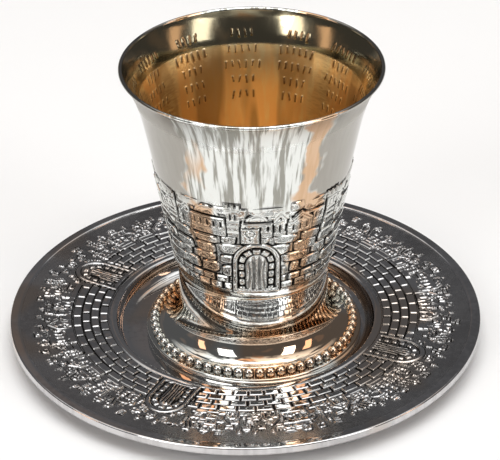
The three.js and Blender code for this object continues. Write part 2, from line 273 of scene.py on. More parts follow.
@dataclass(frozen=True)
class PolishedPlate:
    """Silver plate polished to a mirror, blackened where its relief is deep."""

    name: str
    bright: Colour = (0.66, 0.65, 0.65)
    cloudy_and_shaded: Colour = (0.50, 0.49, 0.49)
    toned_and_reflected: Colour = (0.64, 0.55, 0.48)
    black: Colour = (0.012, 0.011, 0.010)
    smooth: float = 0.025
    worn: float = 0.05
    sooty: float = 0.5
    satin: float = 0.34
    grain: float = 1.2e-5
    dents: float = 12.0
    clouds: Waves = Waves(42.0, (1, 1, 0.45), 2.0)
    toning: Waves = Waves(34.0, (1, 1, 0.4), 1.0)
    hairs: Waves = Waves(650.0, (1, 1, 0.05))
    smears: Waves = Waves(260.0, (1, 1, 0.4))
    denting: Waves = Waves(85.0, (1, 1, 0.3), 1.0)
    pores: Waves = Waves(900.0)

    def metal(self, nodes: Dressing, hair: Socket) -> Socket:
        """Colours the clean metal: cloudy in places, and toned in a few.

        Args:
            nodes: The material's nodes.
            hair: The fine upright scratches.

        Returns:
            The colour.
        """
        cloud = ((nodes.noise(self.clouds) - 0.5) * 4.0 + (hair - 0.5) * 2.5 + 0.35).clipped()
        toning = nodes.noise(self.toning).past(0.56, 14.0) * 0.85
        return nodes.mix(toning, nodes.mix(cloud, self.bright, self.cloudy_and_shaded), self.toned_and_reflected)

    def material(self) -> bpy.types.Material:
        """Builds the finish.

        Returns:
            Its material.
        """
        nodes = Dressing(self.name)
        # The blackening also carries painted shade between the beads and under them.
        soot_and_shade = nodes.attribute("soot_and_shade").clipped()
        band = nodes.attribute("band").clipped()
        hair = nodes.noise(self.hairs)
        colour = nodes.mix(soot_and_shade, self.metal(nodes, hair), self.black)
        roughness = self.smooth + nodes.noise(self.smears) * self.worn + soot_and_shade * self.sooty + band * self.satin
        height = nodes.noise(self.pores) * 0.4 + nodes.noise(self.denting) * self.dents + hair * 0.8
        return nodes.finish(colour, roughness, height, self.grain)


@dataclass(frozen=True)
class ReflectionPaintedPlate(PolishedPlate):
    """Silver plate with reflections painted into its colour: bright and streaky on two opposite faces, grey
    beside them and peach between.
    """

    # Colours of painted reflections: bright faces with dark streaks, grey sides and foot, and peach between
    # the faces and on the foot.
    bright: Colour = (0.84, 0.86, 0.83)
    cloudy_and_shaded: Colour = (0.43, 0.41, 0.37)
    toned_and_reflected: Colour = (0.70, 0.46, 0.28)
    reflected_streak: Colour = (0.27, 0.26, 0.22)
    shaded_grey: Colour = (0.35, 0.335, 0.30)
    axis: Pair = (0.0, 0.0)
    # How far aside the painted bright faces end, as a share of the way to the side.
    face: float = 0.56
    # Heights in metres, and how steeply the painted reflections pass from one part into the next there.
    relief_top: float = 0.0565
    foot_top: float = 0.0135
    steepness: float = 250.0
    fine_streaks: Waves = Waves(30.0)
    broad_streaks: Waves = Waves(9.0, detail=1.0)
    edges: Waves = Waves(75.0, (1, 1, 0.9))
    gaps: Waves = Waves(48.0, detail=1.0)
    peach_reflections: Waves = Waves(36.0, (1, 1, 0.6), 1.0)

    def metal(self, nodes: Dressing, hair: Socket) -> Socket:
        """Paints reflections into the metal's colour by where it is round the axis, the relief and the foot
        more evenly.

        Args:
            nodes: The material's nodes.
            hair: The fine upright scratches.

        Returns:
            The colour.
        """
        outwards = nodes.vector("SUBTRACT", nodes.place(), (*self.axis, 0.0))
        way = nodes.vector("NORMALIZE", nodes.vector("MULTIPLY", outwards, (1, 1, 0)))
        height = nodes.vector("DOT_PRODUCT", nodes.place(), (0, 0, 1), "Value")
        smooth = height.past(self.relief_top, self.steepness)
        above_foot = height.past(self.foot_top, self.steepness)
        streak = self._streak(nodes, way) * (0.12 + smooth * 0.88) * above_foot
        # Painted reflection: bright faces with dark upright streaks.
        metal = nodes.mix(streak * 0.85, self.bright, self.reflected_streak)
        # Painted darker reflection: grey on the sides beside the bright faces.
        aside = abs(nodes.vector("DOT_PRODUCT", way, (1, 0, 0), "Value"))
        past_face = aside + (nodes.noise(self.edges) - 0.5) * 0.55 - self.face
        beside = (past_face * 16.0).clipped() * (0.25 + smooth * 0.75) * above_foot
        metal = nodes.mix(beside, metal, nodes.mix(hair, self.cloudy_and_shaded, self.shaded_grey))
        # Painted peach reflection between the bright faces and the grey sides.
        metal = nodes.mix(self._between(nodes, past_face, smooth) * above_foot * 0.9, metal, self.toned_and_reflected)
        # Painted reflections on the foot: half grey, with peach patches.
        foot = 1.0 - above_foot
        warm = nodes.noise(self.peach_reflections).past(0.47, 14.0) * foot
        return nodes.mix(warm * 0.75, nodes.mix(foot * 0.5, metal, self.cloudy_and_shaded), self.toned_and_reflected)

    def _streak(self, nodes: Dressing, way: Socket) -> Socket:
        """Finds the upright streaks of painted reflection, which follow the way round the axis and drift a
        little with height.

        Args:
            nodes: The material's nodes.
            way: The way out from the axis.

        Returns:
            The streaks, from 0 to 1.
        """
        drift = nodes.vector("MULTIPLY", nodes.place(), (0, 0, 3.0))
        upright = nodes.vector("ADD", way, drift)
        fine = nodes.waves(upright, self.fine_streaks)
        broad = nodes.waves(upright, self.broad_streaks)
        return ((fine - 0.5) * 7.0 + (broad - 0.5) * 5.0 + 0.3).clipped()

    def _between(self, nodes: Dressing, past_face: Socket, smooth: Socket) -> Socket:
        """Finds the painted peach reflection between a bright face and the grey beside it, broken up over the
        relief.

        Args:
            nodes: The material's nodes.
            past_face: How far past the bright face's edge the place is.
            smooth: 1 over the relief, 0 on it.

        Returns:
            The toned edge, from 0 to 1.
        """
        whole = ((nodes.noise(self.gaps) - 0.33) * 12.0 + (1.0 - smooth)).clipped()
        narrowness = 7.0 + smooth * 4.0
        return ((1.0 - abs(past_face + 0.05) * narrowness) * 3.0).clipped() * whole


@dataclass(frozen=True)
class Gilding:
    """The gilt inside: brushed copper gold with reflections painted into its colour, in pale streaks and
    columns of brown and olive, and polished under the rim.
    """

    name: str
    # Copper is the gold itself; pale, brown and olive are painted reflections, and dim is the painted darker
    # reflection under the rim.
    pale: Colour = (1.0, 0.88, 0.62)
    copper: Colour = (1.0, 0.71, 0.39)
    brown: Colour = (0.46, 0.32, 0.18)
    olive: Colour = (0.82, 0.75, 0.52)
    dim: Colour = (0.27, 0.235, 0.155)
    shade: Colour = (0.16, 0.09, 0.04)
    brushed: float = 0.26
    brushing: float = 0.75
    grain: float = 1.5e-5
    polished: float = 0.08
    streaks: Waves = Waves(420.0, (1, 1, 0.05), 5.0)
    columns: Waves = Waves(105.0, (1, 1, 0.03), 2.0)
    olive_reflections: Waves = Waves(70.0, (1.3, 1, 0.05), 1.0)
    hatching: Waves = Waves(1500.0, (0.25, 0.25, 1), 2.0)
    glints: Waves = Waves(60.0, (1, 1, 0.1), 1.0)

    def material(self) -> bpy.types.Material:
        """Builds the finish.

        Returns:
            Its material.
        """
        nodes = Dressing(self.name)
        band = nodes.attribute("band").clipped()
        soot_and_shade = nodes.attribute("soot_and_shade").clipped()
        nodes.shader.inputs["Anisotropic"].default_value = self.brushing
        streak = nodes.noise(self.streaks)
        # Painted olive reflections in upright columns.
        olive_reflection = nodes.noise(self.olive_reflections).past(0.54, 12.0)
        hatch = nodes.noise(self.hatching)
        # Painted glints: places where the dim band is left out.
        glint = nodes.noise(self.glints).past(0.57, 10.0)
        # Painted highlights: pale streaks over the copper gold.
        tone = nodes.mix(streak.past(0.45, 3.0), self.copper, self.pale)
        # Painted dark reflections: brown upright columns.
        tone = nodes.mix(nodes.noise(self.columns).past(0.52, 12.0) * 0.8, tone, self.brown)
        tone = nodes.mix(olive_reflection * 0.8, tone, self.olive)
        tone = nodes.mix(olive_reflection * hatch.past(0.45, 8.0) * 0.55, tone, self.brown)
        # Painted darker reflection: the band under the rim is dim, except at the glints.
        tone = nodes.mix(band * (1.0 - glint), tone, self.dim)
        colour = nodes.mix(soot_and_shade, tone, self.shade)
        roughness = self.brushed - band * (self.brushed - self.polished) + streak * 0.08 + soot_and_shade * 0.2
        return nodes.finish(colour, roughness, streak + hatch * 0.5, self.grain)


def dress(pieces: Sequence[bpy.types.Object], material: bpy.types.Material) -> None:
    """Gives some pieces their finish."""
    for piece in pieces:
        piece.data.materials.append(material)


# ---------------------------------------------------------------- surfaces


def eased(inside: Array, edge: float) -> Array:
    """Rises smoothly from 0 at an outline to 1 at the edge's width inside it, in millimetres."""
    share = np.clip(inside / edge, 0.0, 1.0)
    return share * share * (3.0 - 2.0 * share)


def spread(values: Array, reach: int) -> Array:
    """Averages a band of values over a square window, wrapping round its turn.

    Args:
        values: The band, rows by columns.
        reach: How many rows and columns away the window reaches.

    Returns:
        The averaged band.
    """
    width = 2 * reach + 1
    padded = np.pad(values, ((reach, reach), (0, 0)), mode="edge")
    padded = np.pad(padded, ((0, 0), (reach, reach)), mode="wrap")
    for _ in range(2):
        total = np.insert(np.cumsum(padded, axis=0), 0, 0.0, axis=0)
        padded = ((total[width:] - total[:-width]) / width).T
    return padded


def grid_faces(rows: int, columns: int) -> Array:
    """Numbers the corners of a grid's faces, where the last column joins the first.

    Args:
        rows: How many rows of points there are.
        columns: How many points a row has.

    Returns:
        Four point numbers for each face.
    """
    row = np.arange(rows - 1)[:, None] * columns
    corner = row + np.arange(columns)
    beside = row + (np.arange(columns) + 1) % columns
    return np.stack([corner, beside, beside + columns, corner + columns], axis=-1).reshape(-1, 4)


def skin(name: str, points: Array, values: dict[str, Array]) -> bpy.types.Object:
    """Makes a smooth surface over rings of points, along a profile that has the outside on its right."""
    faces = grid_faces(*points.shape[:2])
    return surface(name, points.reshape(-1, 3), faces, {key: value.ravel() for key, value in values.items()})


def surface(name: str, points: Array, quads: Array, values: dict[str, Array]) -> bpy.types.Object:
    """Makes a smooth mesh object.

    Args:
        name: The piece's name.
        points: The points, in metres.
        quads: Four point numbers for each face.
        values: What the mesh carries at its points, by name.

    Returns:
        The object, linked into the scene.
    """
    mesh = bpy.data.meshes.new(name)
    mesh.vertices.add(len(points))
    mesh.vertices.foreach_set("co", points.astype(np.float32).ravel())
    mesh.loops.add(quads.size)
    mesh.loops.foreach_set("vertex_index", quads.astype(np.int32).ravel())
    mesh.polygons.add(len(quads))
    mesh.polygons.foreach_set("loop_start", np.arange(0, quads.size, quads.shape[1], dtype=np.int32))
    mesh.update(calc_edges=True)
    mesh.polygons.foreach_set("use_smooth", np.ones(len(quads), dtype=bool))
    for key, value in values.items():
        mesh.attributes.new(key, "FLOAT", "POINT").data.foreach_set("value", value.astype(np.float32))
    mesh.validate()
    piece = bpy.data.objects.new(name, mesh)
    bpy.context.scene.collection.objects.link(piece)
    return piece


@dataclass(frozen=True)
class Axis:
    """A vertical axis that round forms are turned on, in metres."""

    x: float
    y: float
    base: float

    def turned(self, turns: Array, radii: Array, heights: Array) -> Array:
        """Places points given by turn, radius and height.

        Args:
            turns: Angles in degrees from +X, as a row.
            radii: Distances from the axis in millimetres, as a column or a grid.
            heights: Heights over the base in millimetres, as a column or a grid.

        Returns:
            The points, in metres.
        """
        angle = np.radians(turns)
        return np.stack([
            self.x + MM * radii * np.cos(angle),
            self.y + MM * radii * np.sin(angle),
            self.base + MM * heights + 0.0 * angle,
        ], axis=-1)

    def revolve(
        self, name: str, profile: Profile, columns: int, band: Callable[[Array], Array] = np.zeros_like
    ) -> bpy.types.Object:
        """Turns a profile round the axis.

        Args:
            name: The piece's name.
            profile: Points of radius and height, in millimetres, running with the outside on their right.
            columns: How many faces go round.
            band: How satin the metal is at some heights.

        Returns:
            The turned object.
        """
        radii, heights = np.array(profile, dtype=float).T
        turns = np.arange(columns) * FULL_TURN / columns
        points = self.turned(turns[None, :], radii[:, None], heights[:, None])
        return skin(name, points, {"band": np.repeat(band(heights)[:, None], columns, axis=1)})


def curve(centre: Pair, sizes: Pair, start: float, end: float, steps: int) -> Profile:
    """Draws an arc between two angles, of an ellipse given by its centre, half width and half height."""
    angles = np.radians(np.linspace(start, end, steps + 1))
    return list(zip(centre[0] + sizes[0] * np.cos(angles), centre[1] + sizes[1] * np.sin(angles)))


def dense(profile: Profile, step: float) -> Profile:
    """Cuts a profile's straight stretches so that none is longer than a step.

    Args:
        profile: Points of radius and height.
        step: The longest stretch allowed, in millimetres.

    Returns:
        The finer profile.
    """
    fine = [tuple(profile[0])]
    for (r0, z0), (r1, z1) in zip(profile, profile[1:]):
        pieces = max(1, math.ceil(math.hypot(r1 - r0, z1 - z0) / step))
        fine += [(r0 + (r1 - r0) * i / pieces, z0 + (z1 - z0) * i / pieces) for i in range(1, pieces + 1)]
    return fine


# ---------------------------------------------------------------- flat forms that are stamped into the metal


@dataclass(frozen=True)
class Form:
    """A flat form over the middle of its foot: its size in millimetres, and how far inside it a place is."""

    width: float
    height: float
    inside: Callable[[Array, Array], Array]

    def rib(self, width: float) -> "Form":
        """Takes the narrow band just inside its edge.

        Args:
            width: The band's width.

        Returns:
            The band.
        """
        def inside(x: Array, y: Array) -> Array:
            """Distance inside the band."""
            depth = self.inside(x, y)
            return np.minimum(depth, width - depth)

        return replace(self, inside=inside)


def block(width: float, height: float) -> Form:
    """A rectangle."""
    return Form(width, height, lambda x, y: np.minimum(width / 2 - np.abs(x), np.minimum(y, height - y)))


def disc(width: float) -> Form:
    """A disc."""
    return Form(width, width, lambda x, y: width / 2 - np.hypot(x, y - width / 2))


def spring_of(width: float, height: float) -> float:
    """The height at which an arch's sides end and its head starts."""
    return height - ARCH_RISE * width / 2


def arch(width: float, height: float) -> Form:
    """An opening with a pointed round head.

    Args:
        width: Its width.
        height: Its height.

    Returns:
        The opening.
    """
    half = width / 2
    spring = spring_of(width, height)

    def inside(x: Array, y: Array) -> Array:
        """Distance inside the opening."""
        head = half * (1.0 - np.hypot(x / half, np.maximum(y - spring, 0.0) / (height - spring)))
        return np.minimum(np.where(y > spring, head, half - np.abs(x)), y)

    return Form(width, height, inside)


def dome(width: float, height: float) -> Form:
    """Half an ellipse."""
    half = min(width / 2, height)
    return Form(width, height, lambda x, y: np.minimum(half * (1.0 - np.hypot(2 * x / width, y / height)), y))


def gable(width: float, height: float, eaves: float) -> Form:
    """A wall with a pitched roof.

    Args:
        width: Its width.
        height: The height of its ridge.
        eaves: The height of its eaves.

    Returns:
        The wall.
    """
    pitch = (height - eaves) / (width / 2)

    def inside(x: Array, y: Array) -> Array:
        """Distance inside the wall."""
        roof = (height - y - pitch * np.abs(x)) / math.hypot(1.0, pitch)
        return np.minimum(np.minimum(width / 2 - np.abs(x), y), roof)

    return Form(width, height, inside)


def leaf(width: float, height: float) -> Form:
    """A slim pointed tree, widest below its middle.

    Args:
        width: Its width.
        height: Its height.

    Returns:
        The tree.
    """
    swell = 0.62

    def inside(x: Array, y: Array) -> Array:
        """Distance inside the tree."""
        return width / 2 * np.sin(np.pi * np.clip(y / height, 0, 1) ** swell) - np.abs(x)

    return Form(width, height, inside)


def stroke(width: float, height: float, lean: float) -> Form:
    """A narrow bar that leans over by a share of its height.

    Args:
        width: Its width.
        height: Its height.
        lean: How far it leans to the side for each millimetre up.

    Returns:
        The bar.
    """
    def inside(x: Array, y: Array) -> Array:
        """Distance inside the bar."""
        return np.minimum(width / 2 - np.abs(x - lean * (y - height / 2)), np.minimum(y, height - y))

    return Form(width, height, inside)


def spoke(width: float, length: float, lean: float, hub: float, start: float) -> Form:
    """A bar that points away from a hub over the foot.

    Args:
        width: Its width.
        length: Its length.
        lean: Degrees that it leans from upright.
        hub: The hub's height.
        start: How far from the hub its middle is.

    Returns:
        The bar.
    """
    side, up = math.sin(math.radians(lean)), math.cos(math.radians(lean))

    def inside(x: Array, y: Array) -> Array:
        """Finds the distance inside the bar.

        Args:
            x: Places across.
            y: Places up.

        Returns:
            The distance.
        """
        outwards = x * side + (y - hub) * up
        across = x * up - (y - hub) * side
        return np.minimum(width / 2 - np.abs(across), length / 2 - np.abs(outwards - start))

    reach = start + length / 2
    return Form(2 * reach, hub + reach, inside)


def pebble(width: float, height: float, lean: float = 0.0, tilt: float = 0.0) -> Form:
    """A stone with rounded corners that swells to its middle.

    Args:
        width: Its width.
        height: Its height.
        lean: How far its sides lean for each millimetre up.
        tilt: How far its bed rises for each millimetre across.

    Returns:
        The stone.
    """
    def inside(x: Array, y: Array) -> Array:
        """Finds the distance inside the stone.

        Args:
            x: Places across.
            y: Places up.

        Returns:
            The distance.
        """
        across = 2 * (x + lean * (y - height / 2)) / width
        up = 2 * (y + tilt * x) / height - 1
        return min(width, height) / 2 * (1.0 - (np.abs(across) ** 4 + np.abs(up) ** 4) ** 0.25)

    return Form(width, height, inside)


# ---------------------------------------------------------------- the stamped band


class Layout(Enum):
    """What a band lies on: wound round a wall, or laid in a dish."""

    WALL = "wall"
    DISH = "dish"


class Relief:
    """Stamped heights over a band that runs once round an axis, in millimetres."""

    def __init__(
        self, layout: Layout, columns: int, climbs: Array, profile: Callable[[Array], Array], seed: int
    ) -> None:
        """Starts a smooth band.

        Args:
            layout: What it lies on.
            columns: Grid columns round the turn.
            climbs: The places of its rows: heights on a wall, radii in a dish.
            profile: The radius of the wall at a height, or the height of the dish at a radius.
            seed: Seed of its unevenness.
        """
        self.layout = layout
        self.columns = columns
        self.turns = np.arange(columns) * FULL_TURN / columns
        self.climbs = climbs
        self.profile = profile
        self.heights = np.zeros((len(climbs), columns))
        self.random = np.random.default_rng(seed)

    def radius(self, places: Array) -> Array:
        """The distance from the axis at some places."""
        return self.profile(places) if self.layout is Layout.WALL else np.asarray(places, dtype=float)

    def girth(self, place: float) -> float:
        """The distance from the axis at one place."""
        return float(self.radius(np.array(place)))

    def weather(self, amount: float) -> None:
        """Roughens the faces of what stands out.

        Args:
            amount: How far the faces wander, in millimetres.
        """
        wander = self.random.normal(size=self.heights.shape)
        for reach in (4, 3, 2):
            wander = spread(wander, reach)
        full_height = 0.2
        self.heights += amount * wander / wander.std() * np.clip(self.heights / full_height, 0.0, 1.0)

    def soot_and_shade(self, lift: float, reach: tuple[int, int], start: float = 0.42) -> Array:
        """Finds where blackening settles: in what lies well below the tops close to it.

        Args:
            lift: How far the forms stand out, in millimetres.
            reach: How many rows and columns away a top may be.
            start: How far down from a top it starts, as a share of the forms' height.

        Returns:
            The blackening, from 0 to 1.
        """
        tops = self.heights
        for axis, steps in enumerate(reach):
            tops = np.max([np.roll(tops, shift, axis) for shift in range(-steps, steps + 1)], axis=0)
        fall = (tops - self.heights) / lift
        full_after = 0.3
        return np.clip((fall - start) / full_after, 0.0, 1.0)

    def piece(self, name: str, axis: Axis, rows: slice, soot_and_shade: Array) -> bpy.types.Object:
        """Makes a mesh of some of its rows.

        Args:
            name: The piece's name.
            axis: The axis that it runs round.
            rows: Which rows.
            soot_and_shade: The blackening of the whole band.

        Returns:
            The mesh's object.
        """
        climbs = self.climbs[rows][:, None]
        lift = self.heights[rows]
        turns = self.turns[None, :]
        if self.layout is Layout.WALL:
            return skin(name, axis.turned(turns, self.profile(climbs) + lift, climbs), {"soot_and_shade": soot_and_shade[rows]})
        points = axis.turned(turns, climbs, self.profile(climbs) + lift)
        return skin(name, points[::-1], {"soot_and_shade": soot_and_shade[rows][::-1]})


@dataclass(frozen=True)
class Spot:
    """Where forms are stamped into a band: their middle's turn in degrees, their foot and their full lift."""

    relief: Relief
    turn: float
    foot: float
    lift: float

    def up(self, rise: float) -> "Spot":
        """The spot this much further up."""
        return replace(self, foot=self.foot + rise)

    def aside(self, shift: float, above: float = 0.0) -> "Spot":
        """The spot this far to the side, as measured at a height above its foot."""
        return replace(self, turn=self.turn + math.degrees(shift / self.relief.girth(self.foot + above)))

    def _inside(self, form: Form, radial: bool = False) -> tuple[tuple[Array, Array], Array]:
        """Finds how far inside a form the cells of the grid round it are.

        Args:
            form: The form.
            radial: Whether its sides point at the axis.

        Returns:
            The cells' row and column numbers, and their distances inside.
        """
        relief = self.relief
        girth = relief.girth(self.foot)
        half = math.ceil((form.width / 2 + LEANING_ROOM) / girth * relief.columns / (2 * math.pi)) + 1
        middle = round(self.turn / FULL_TURN * relief.columns)
        offsets = np.arange(middle - half, middle + half + 1)
        height = relief.climbs - self.foot
        rows = np.flatnonzero((height > -LEANING_ROOM) & (height < form.height + LEANING_ROOM))
        up = height[rows][:, None]
        angle = np.radians(offsets * FULL_TURN / relief.columns - self.turn)[None, :]
        across = angle * (girth if radial else relief.radius(relief.climbs[rows][:, None]))
        inside = form.inside(across + 0 * up, up + 0 * angle)
        return (rows[:, None], (offsets % relief.columns)[None, :]), inside

    def stand(
        self, form: Form, share: float = 1.0, edge: float = 0.3, ground: float = 0.0, radial: bool = False
    ) -> None:
        """Stamps a form outwards.

        Args:
            form: The form.
            share: How far it stands out, as a share of the full lift.
            edge: How wide its rounded edge is.
            ground: The level that it rises from, as a share of the full lift.
            radial: Whether its sides point at the axis.
        """
        cells, inside = self._inside(form, radial)
        rise = eased(inside, edge)
        low, high = ground * self.lift, share * self.lift
        level = np.where(rise > 0, low + (high - low) * rise, -np.inf)
        self.relief.heights[cells] = np.maximum(self.relief.heights[cells], level)

    def press(self, form: Form, depth: float, edge: float) -> None:
        """Presses a form inwards by a depth, with an edge that is rounded over a width."""
        cells, inside = self._inside(form)
        self.relief.heights[cells] -= depth * eased(inside, edge)

    def clear(self, form: Form) -> None:
        """Makes everything inside a form flat."""
        cells, inside = self._inside(form)
        self.relief.heights[cells] = np.where(inside > 0, 0.0, self.relief.heights[cells])


# ---------------------------------------------------------------- forms of the town wall


@dataclass(frozen=True)
class Gate:
    """A gate of the town wall, with its frame, the stones of its inner band and the hanging inside them."""

    width: float
    height: float
    frame: float
    folds: int
    stone: float = 1.8
    joint: float = 0.36
    uprights: int = 4
    fanned: int = 5
    fan_step: float = 36.0
    clearing: float = 0.4
    band_gap: Pair = (0.5, 0.4)
    cloth_gap: Pair = (4.2, 2.3)
    # How much tighter the folds are at half their height.
    gathered: float = 0.45

    def stamp(self, spot: Spot) -> None:
        """Stamps the gate.

        Args:
            spot: Where it stands.
        """
        spot.up(-0.3).clear(arch(self.width + 2 * self.clearing, self.height + self.clearing))
        spot.stand(arch(self.width, self.height).rib(self.frame), edge=0.35)
        inner = (self.width - 2 * self.frame, self.height - self.frame)
        band = arch(inner[0] - self.band_gap[0], inner[1] - self.band_gap[1])
        self._stones(spot, band)
        self._hanging(spot, arch(band.width - self.cloth_gap[0], band.height - self.cloth_gap[1]))

    def _stones(self, spot: Spot, band: Form) -> None:
        """Stamps the stones of the inner band: upright at the sides, fanned over the head.

        Args:
            spot: Where the gate stands.
            band: The inner band's outline.
        """
        spring = spring_of(band.width, band.height)
        middle = (band.width - self.stone) / 2
        each = spring / self.uprights
        for side in (-1, 1):
            column = spot.aside(side * middle, spring / 2)
            for number in range(self.uprights):
                column.up(number * each).stand(pebble(self.stone, each - self.joint), share=0.85, edge=0.4)
        wedge = math.pi * middle / self.fanned - self.joint
        for number in range(self.fanned):
            lean = (number - self.fanned // 2) * self.fan_step
            spot.stand(spoke(wedge, self.stone, lean, spring, middle), share=0.85, edge=0.35)

    def _hanging(self, spot: Spot, hanging: Form) -> None:
        """Stamps the draped hanging.

        Args:
            spot: Where the gate stands.
            hanging: The hanging's outline.
        """
        ground = 0.38
        spot.stand(hanging, share=ground)
        pitch = hanging.width / self.folds
        cloth = arch(hanging.width - 0.4, hanging.height - 0.3)

        def folds(x: Array, y: Array) -> Array:
            """Finds the distance inside the folds, which draw together at half their height.

            Args:
                x: Places across.
                y: Places up.

            Returns:
                The distance.
            """
            swing = x * (1.0 + self.gathered * np.sin(np.pi * np.clip(y / hanging.height, 0, 1)) ** 2)
            wave = pitch / 2 * np.cos(2 * np.pi * swing / pitch + np.pi * (self.folds + 1))
            return np.minimum(wave + 0.1 * pitch, cloth.inside(x, y))

        spot.stand(replace(hanging, inside=folds), share=0.95, edge=pitch * 0.5, ground=ground)


@dataclass(frozen=True)
class Keystone:
    """The block with a ring over a gate, a boss in the ring and a drop under it."""

    width: float = 5.4
    height: float = 5.6
    clearing: float = 0.4
    ring: float = 2.9
    ring_foot: float = 2.3
    boss: float = 0.8
    boss_foot: float = 3.4
    drop: float = 0.9
    drop_foot: float = 0.9

    def stamp(self, spot: Spot) -> None:
        """Stamps the block.

        Args:
            spot: Where it stands.
        """
        spot.up(-0.2).clear(block(self.width + 2 * self.clearing, self.height + self.clearing))
        spot.stand(block(self.width, self.height))
        spot.up(self.ring_foot).press(disc(self.ring).rib(0.5), depth=0.5, edge=0.2)
        spot.up(self.boss_foot).press(disc(self.boss), depth=0.5, edge=0.3)
        spot.up(self.drop_foot).press(disc(self.drop), depth=0.6, edge=0.3)


@dataclass(frozen=True)
class Masonry:
    """A course of stones in running bond."""

    count: int
    height: float
    joint: float
    lift: float
    uneven: float = 0.14
    ragged: float = 0.0
    edge: float = 0.26
    # How much wider a joint may be, as a share of it.
    shrinking: float = 0.25
    # How far a stone may wander: degrees for each millimetre of joint, on a girth of one millimetre.
    sway: float = 20.0

    def stamp(self, relief: Relief, foot: float, phase: float, span: Pair = (0.0, FULL_TURN)) -> None:
        """Stamps the course.

        Args:
            relief: The band that it is on.
            foot: Where it stands.
            phase: Degrees to its first joint.
            span: The angles between which it runs.
        """
        pitch = FULL_TURN / self.count
        girth = relief.girth(foot)
        for number in range(self.count):
            turn = phase + (number + 0.5) * pitch
            if not span[0] <= turn % FULL_TURN <= span[1]:
                continue
            shift, shrink, drop, prouder = relief.random.uniform(-1, 1, 4)
            width = math.radians(pitch) * girth - self.joint * (1 + self.shrinking * abs(shrink))
            stone = block(width, self.height - self.joint - self.ragged * abs(drop))
            place = turn + shift * self.joint * self.sway / girth
            spot = Spot(relief, place, foot + self.joint / 2, self.lift * (1 + self.uneven * prouder))
            spot.stand(stone, edge=self.edge, radial=True)


@dataclass(frozen=True)
class Rubble:
    """A course of field stones that lies between two wavy joints."""

    count: int
    height: float
    lift: float
    joint: float = 0.22
    # How far the joints between courses rise and fall, and how often in a turn.
    wave: float = 0.55
    waves: int = 5
    # How far an upright joint may be shifted, as a share of a stone.
    shifted: float = 0.36
    uneven: float = 0.6
    lean: float = 0.5
    tilt: float = 0.14
    # How far the lowest stone stands out, and how much further the highest, as shares of the lift.
    low: float = 0.8
    proud: float = 0.35
    edge: float = 0.5

    def stamp(self, relief: Relief, foot: float, phase: float) -> None:
        """Stamps the course.

        Args:
            relief: The band that it is on.
            foot: Where it stands.
            phase: Degrees to its first joint.
        """
        pitch = FULL_TURN / self.count
        shifts = relief.random.uniform(-self.shifted, self.shifted, self.count)
        cuts = phase + (np.arange(self.count) + shifts) * pitch
        cuts = np.append(cuts, cuts[0] + FULL_TURN)
        girth = relief.girth(foot)
        for start, end in zip(cuts, cuts[1:]):
            middle = (start + end) / 2
            drop, rise, prouder, lean, tilt = relief.random.uniform(0, 1, 5)
            width = math.radians(end - start) * girth - self.joint
            tall = self.height - self.joint + self.uneven * (rise - drop)
            stone = pebble(width, tall, self.lean * (lean - 0.5), self.tilt * (tilt - 0.5))
            sway = self.wave * math.sin(math.radians(middle) * self.waves + phase)
            lift = self.lift * (self.low + self.proud * prouder)
            Spot(relief, middle, foot + sway + self.joint / 2, lift).stand(stone, edge=self.edge)


class Building(Enum):
    """The kinds of houses and trees of the town."""

    DOME = "dome"
    GABLE = "gable"
    TOWER = "tower"
    TREE = "tree"


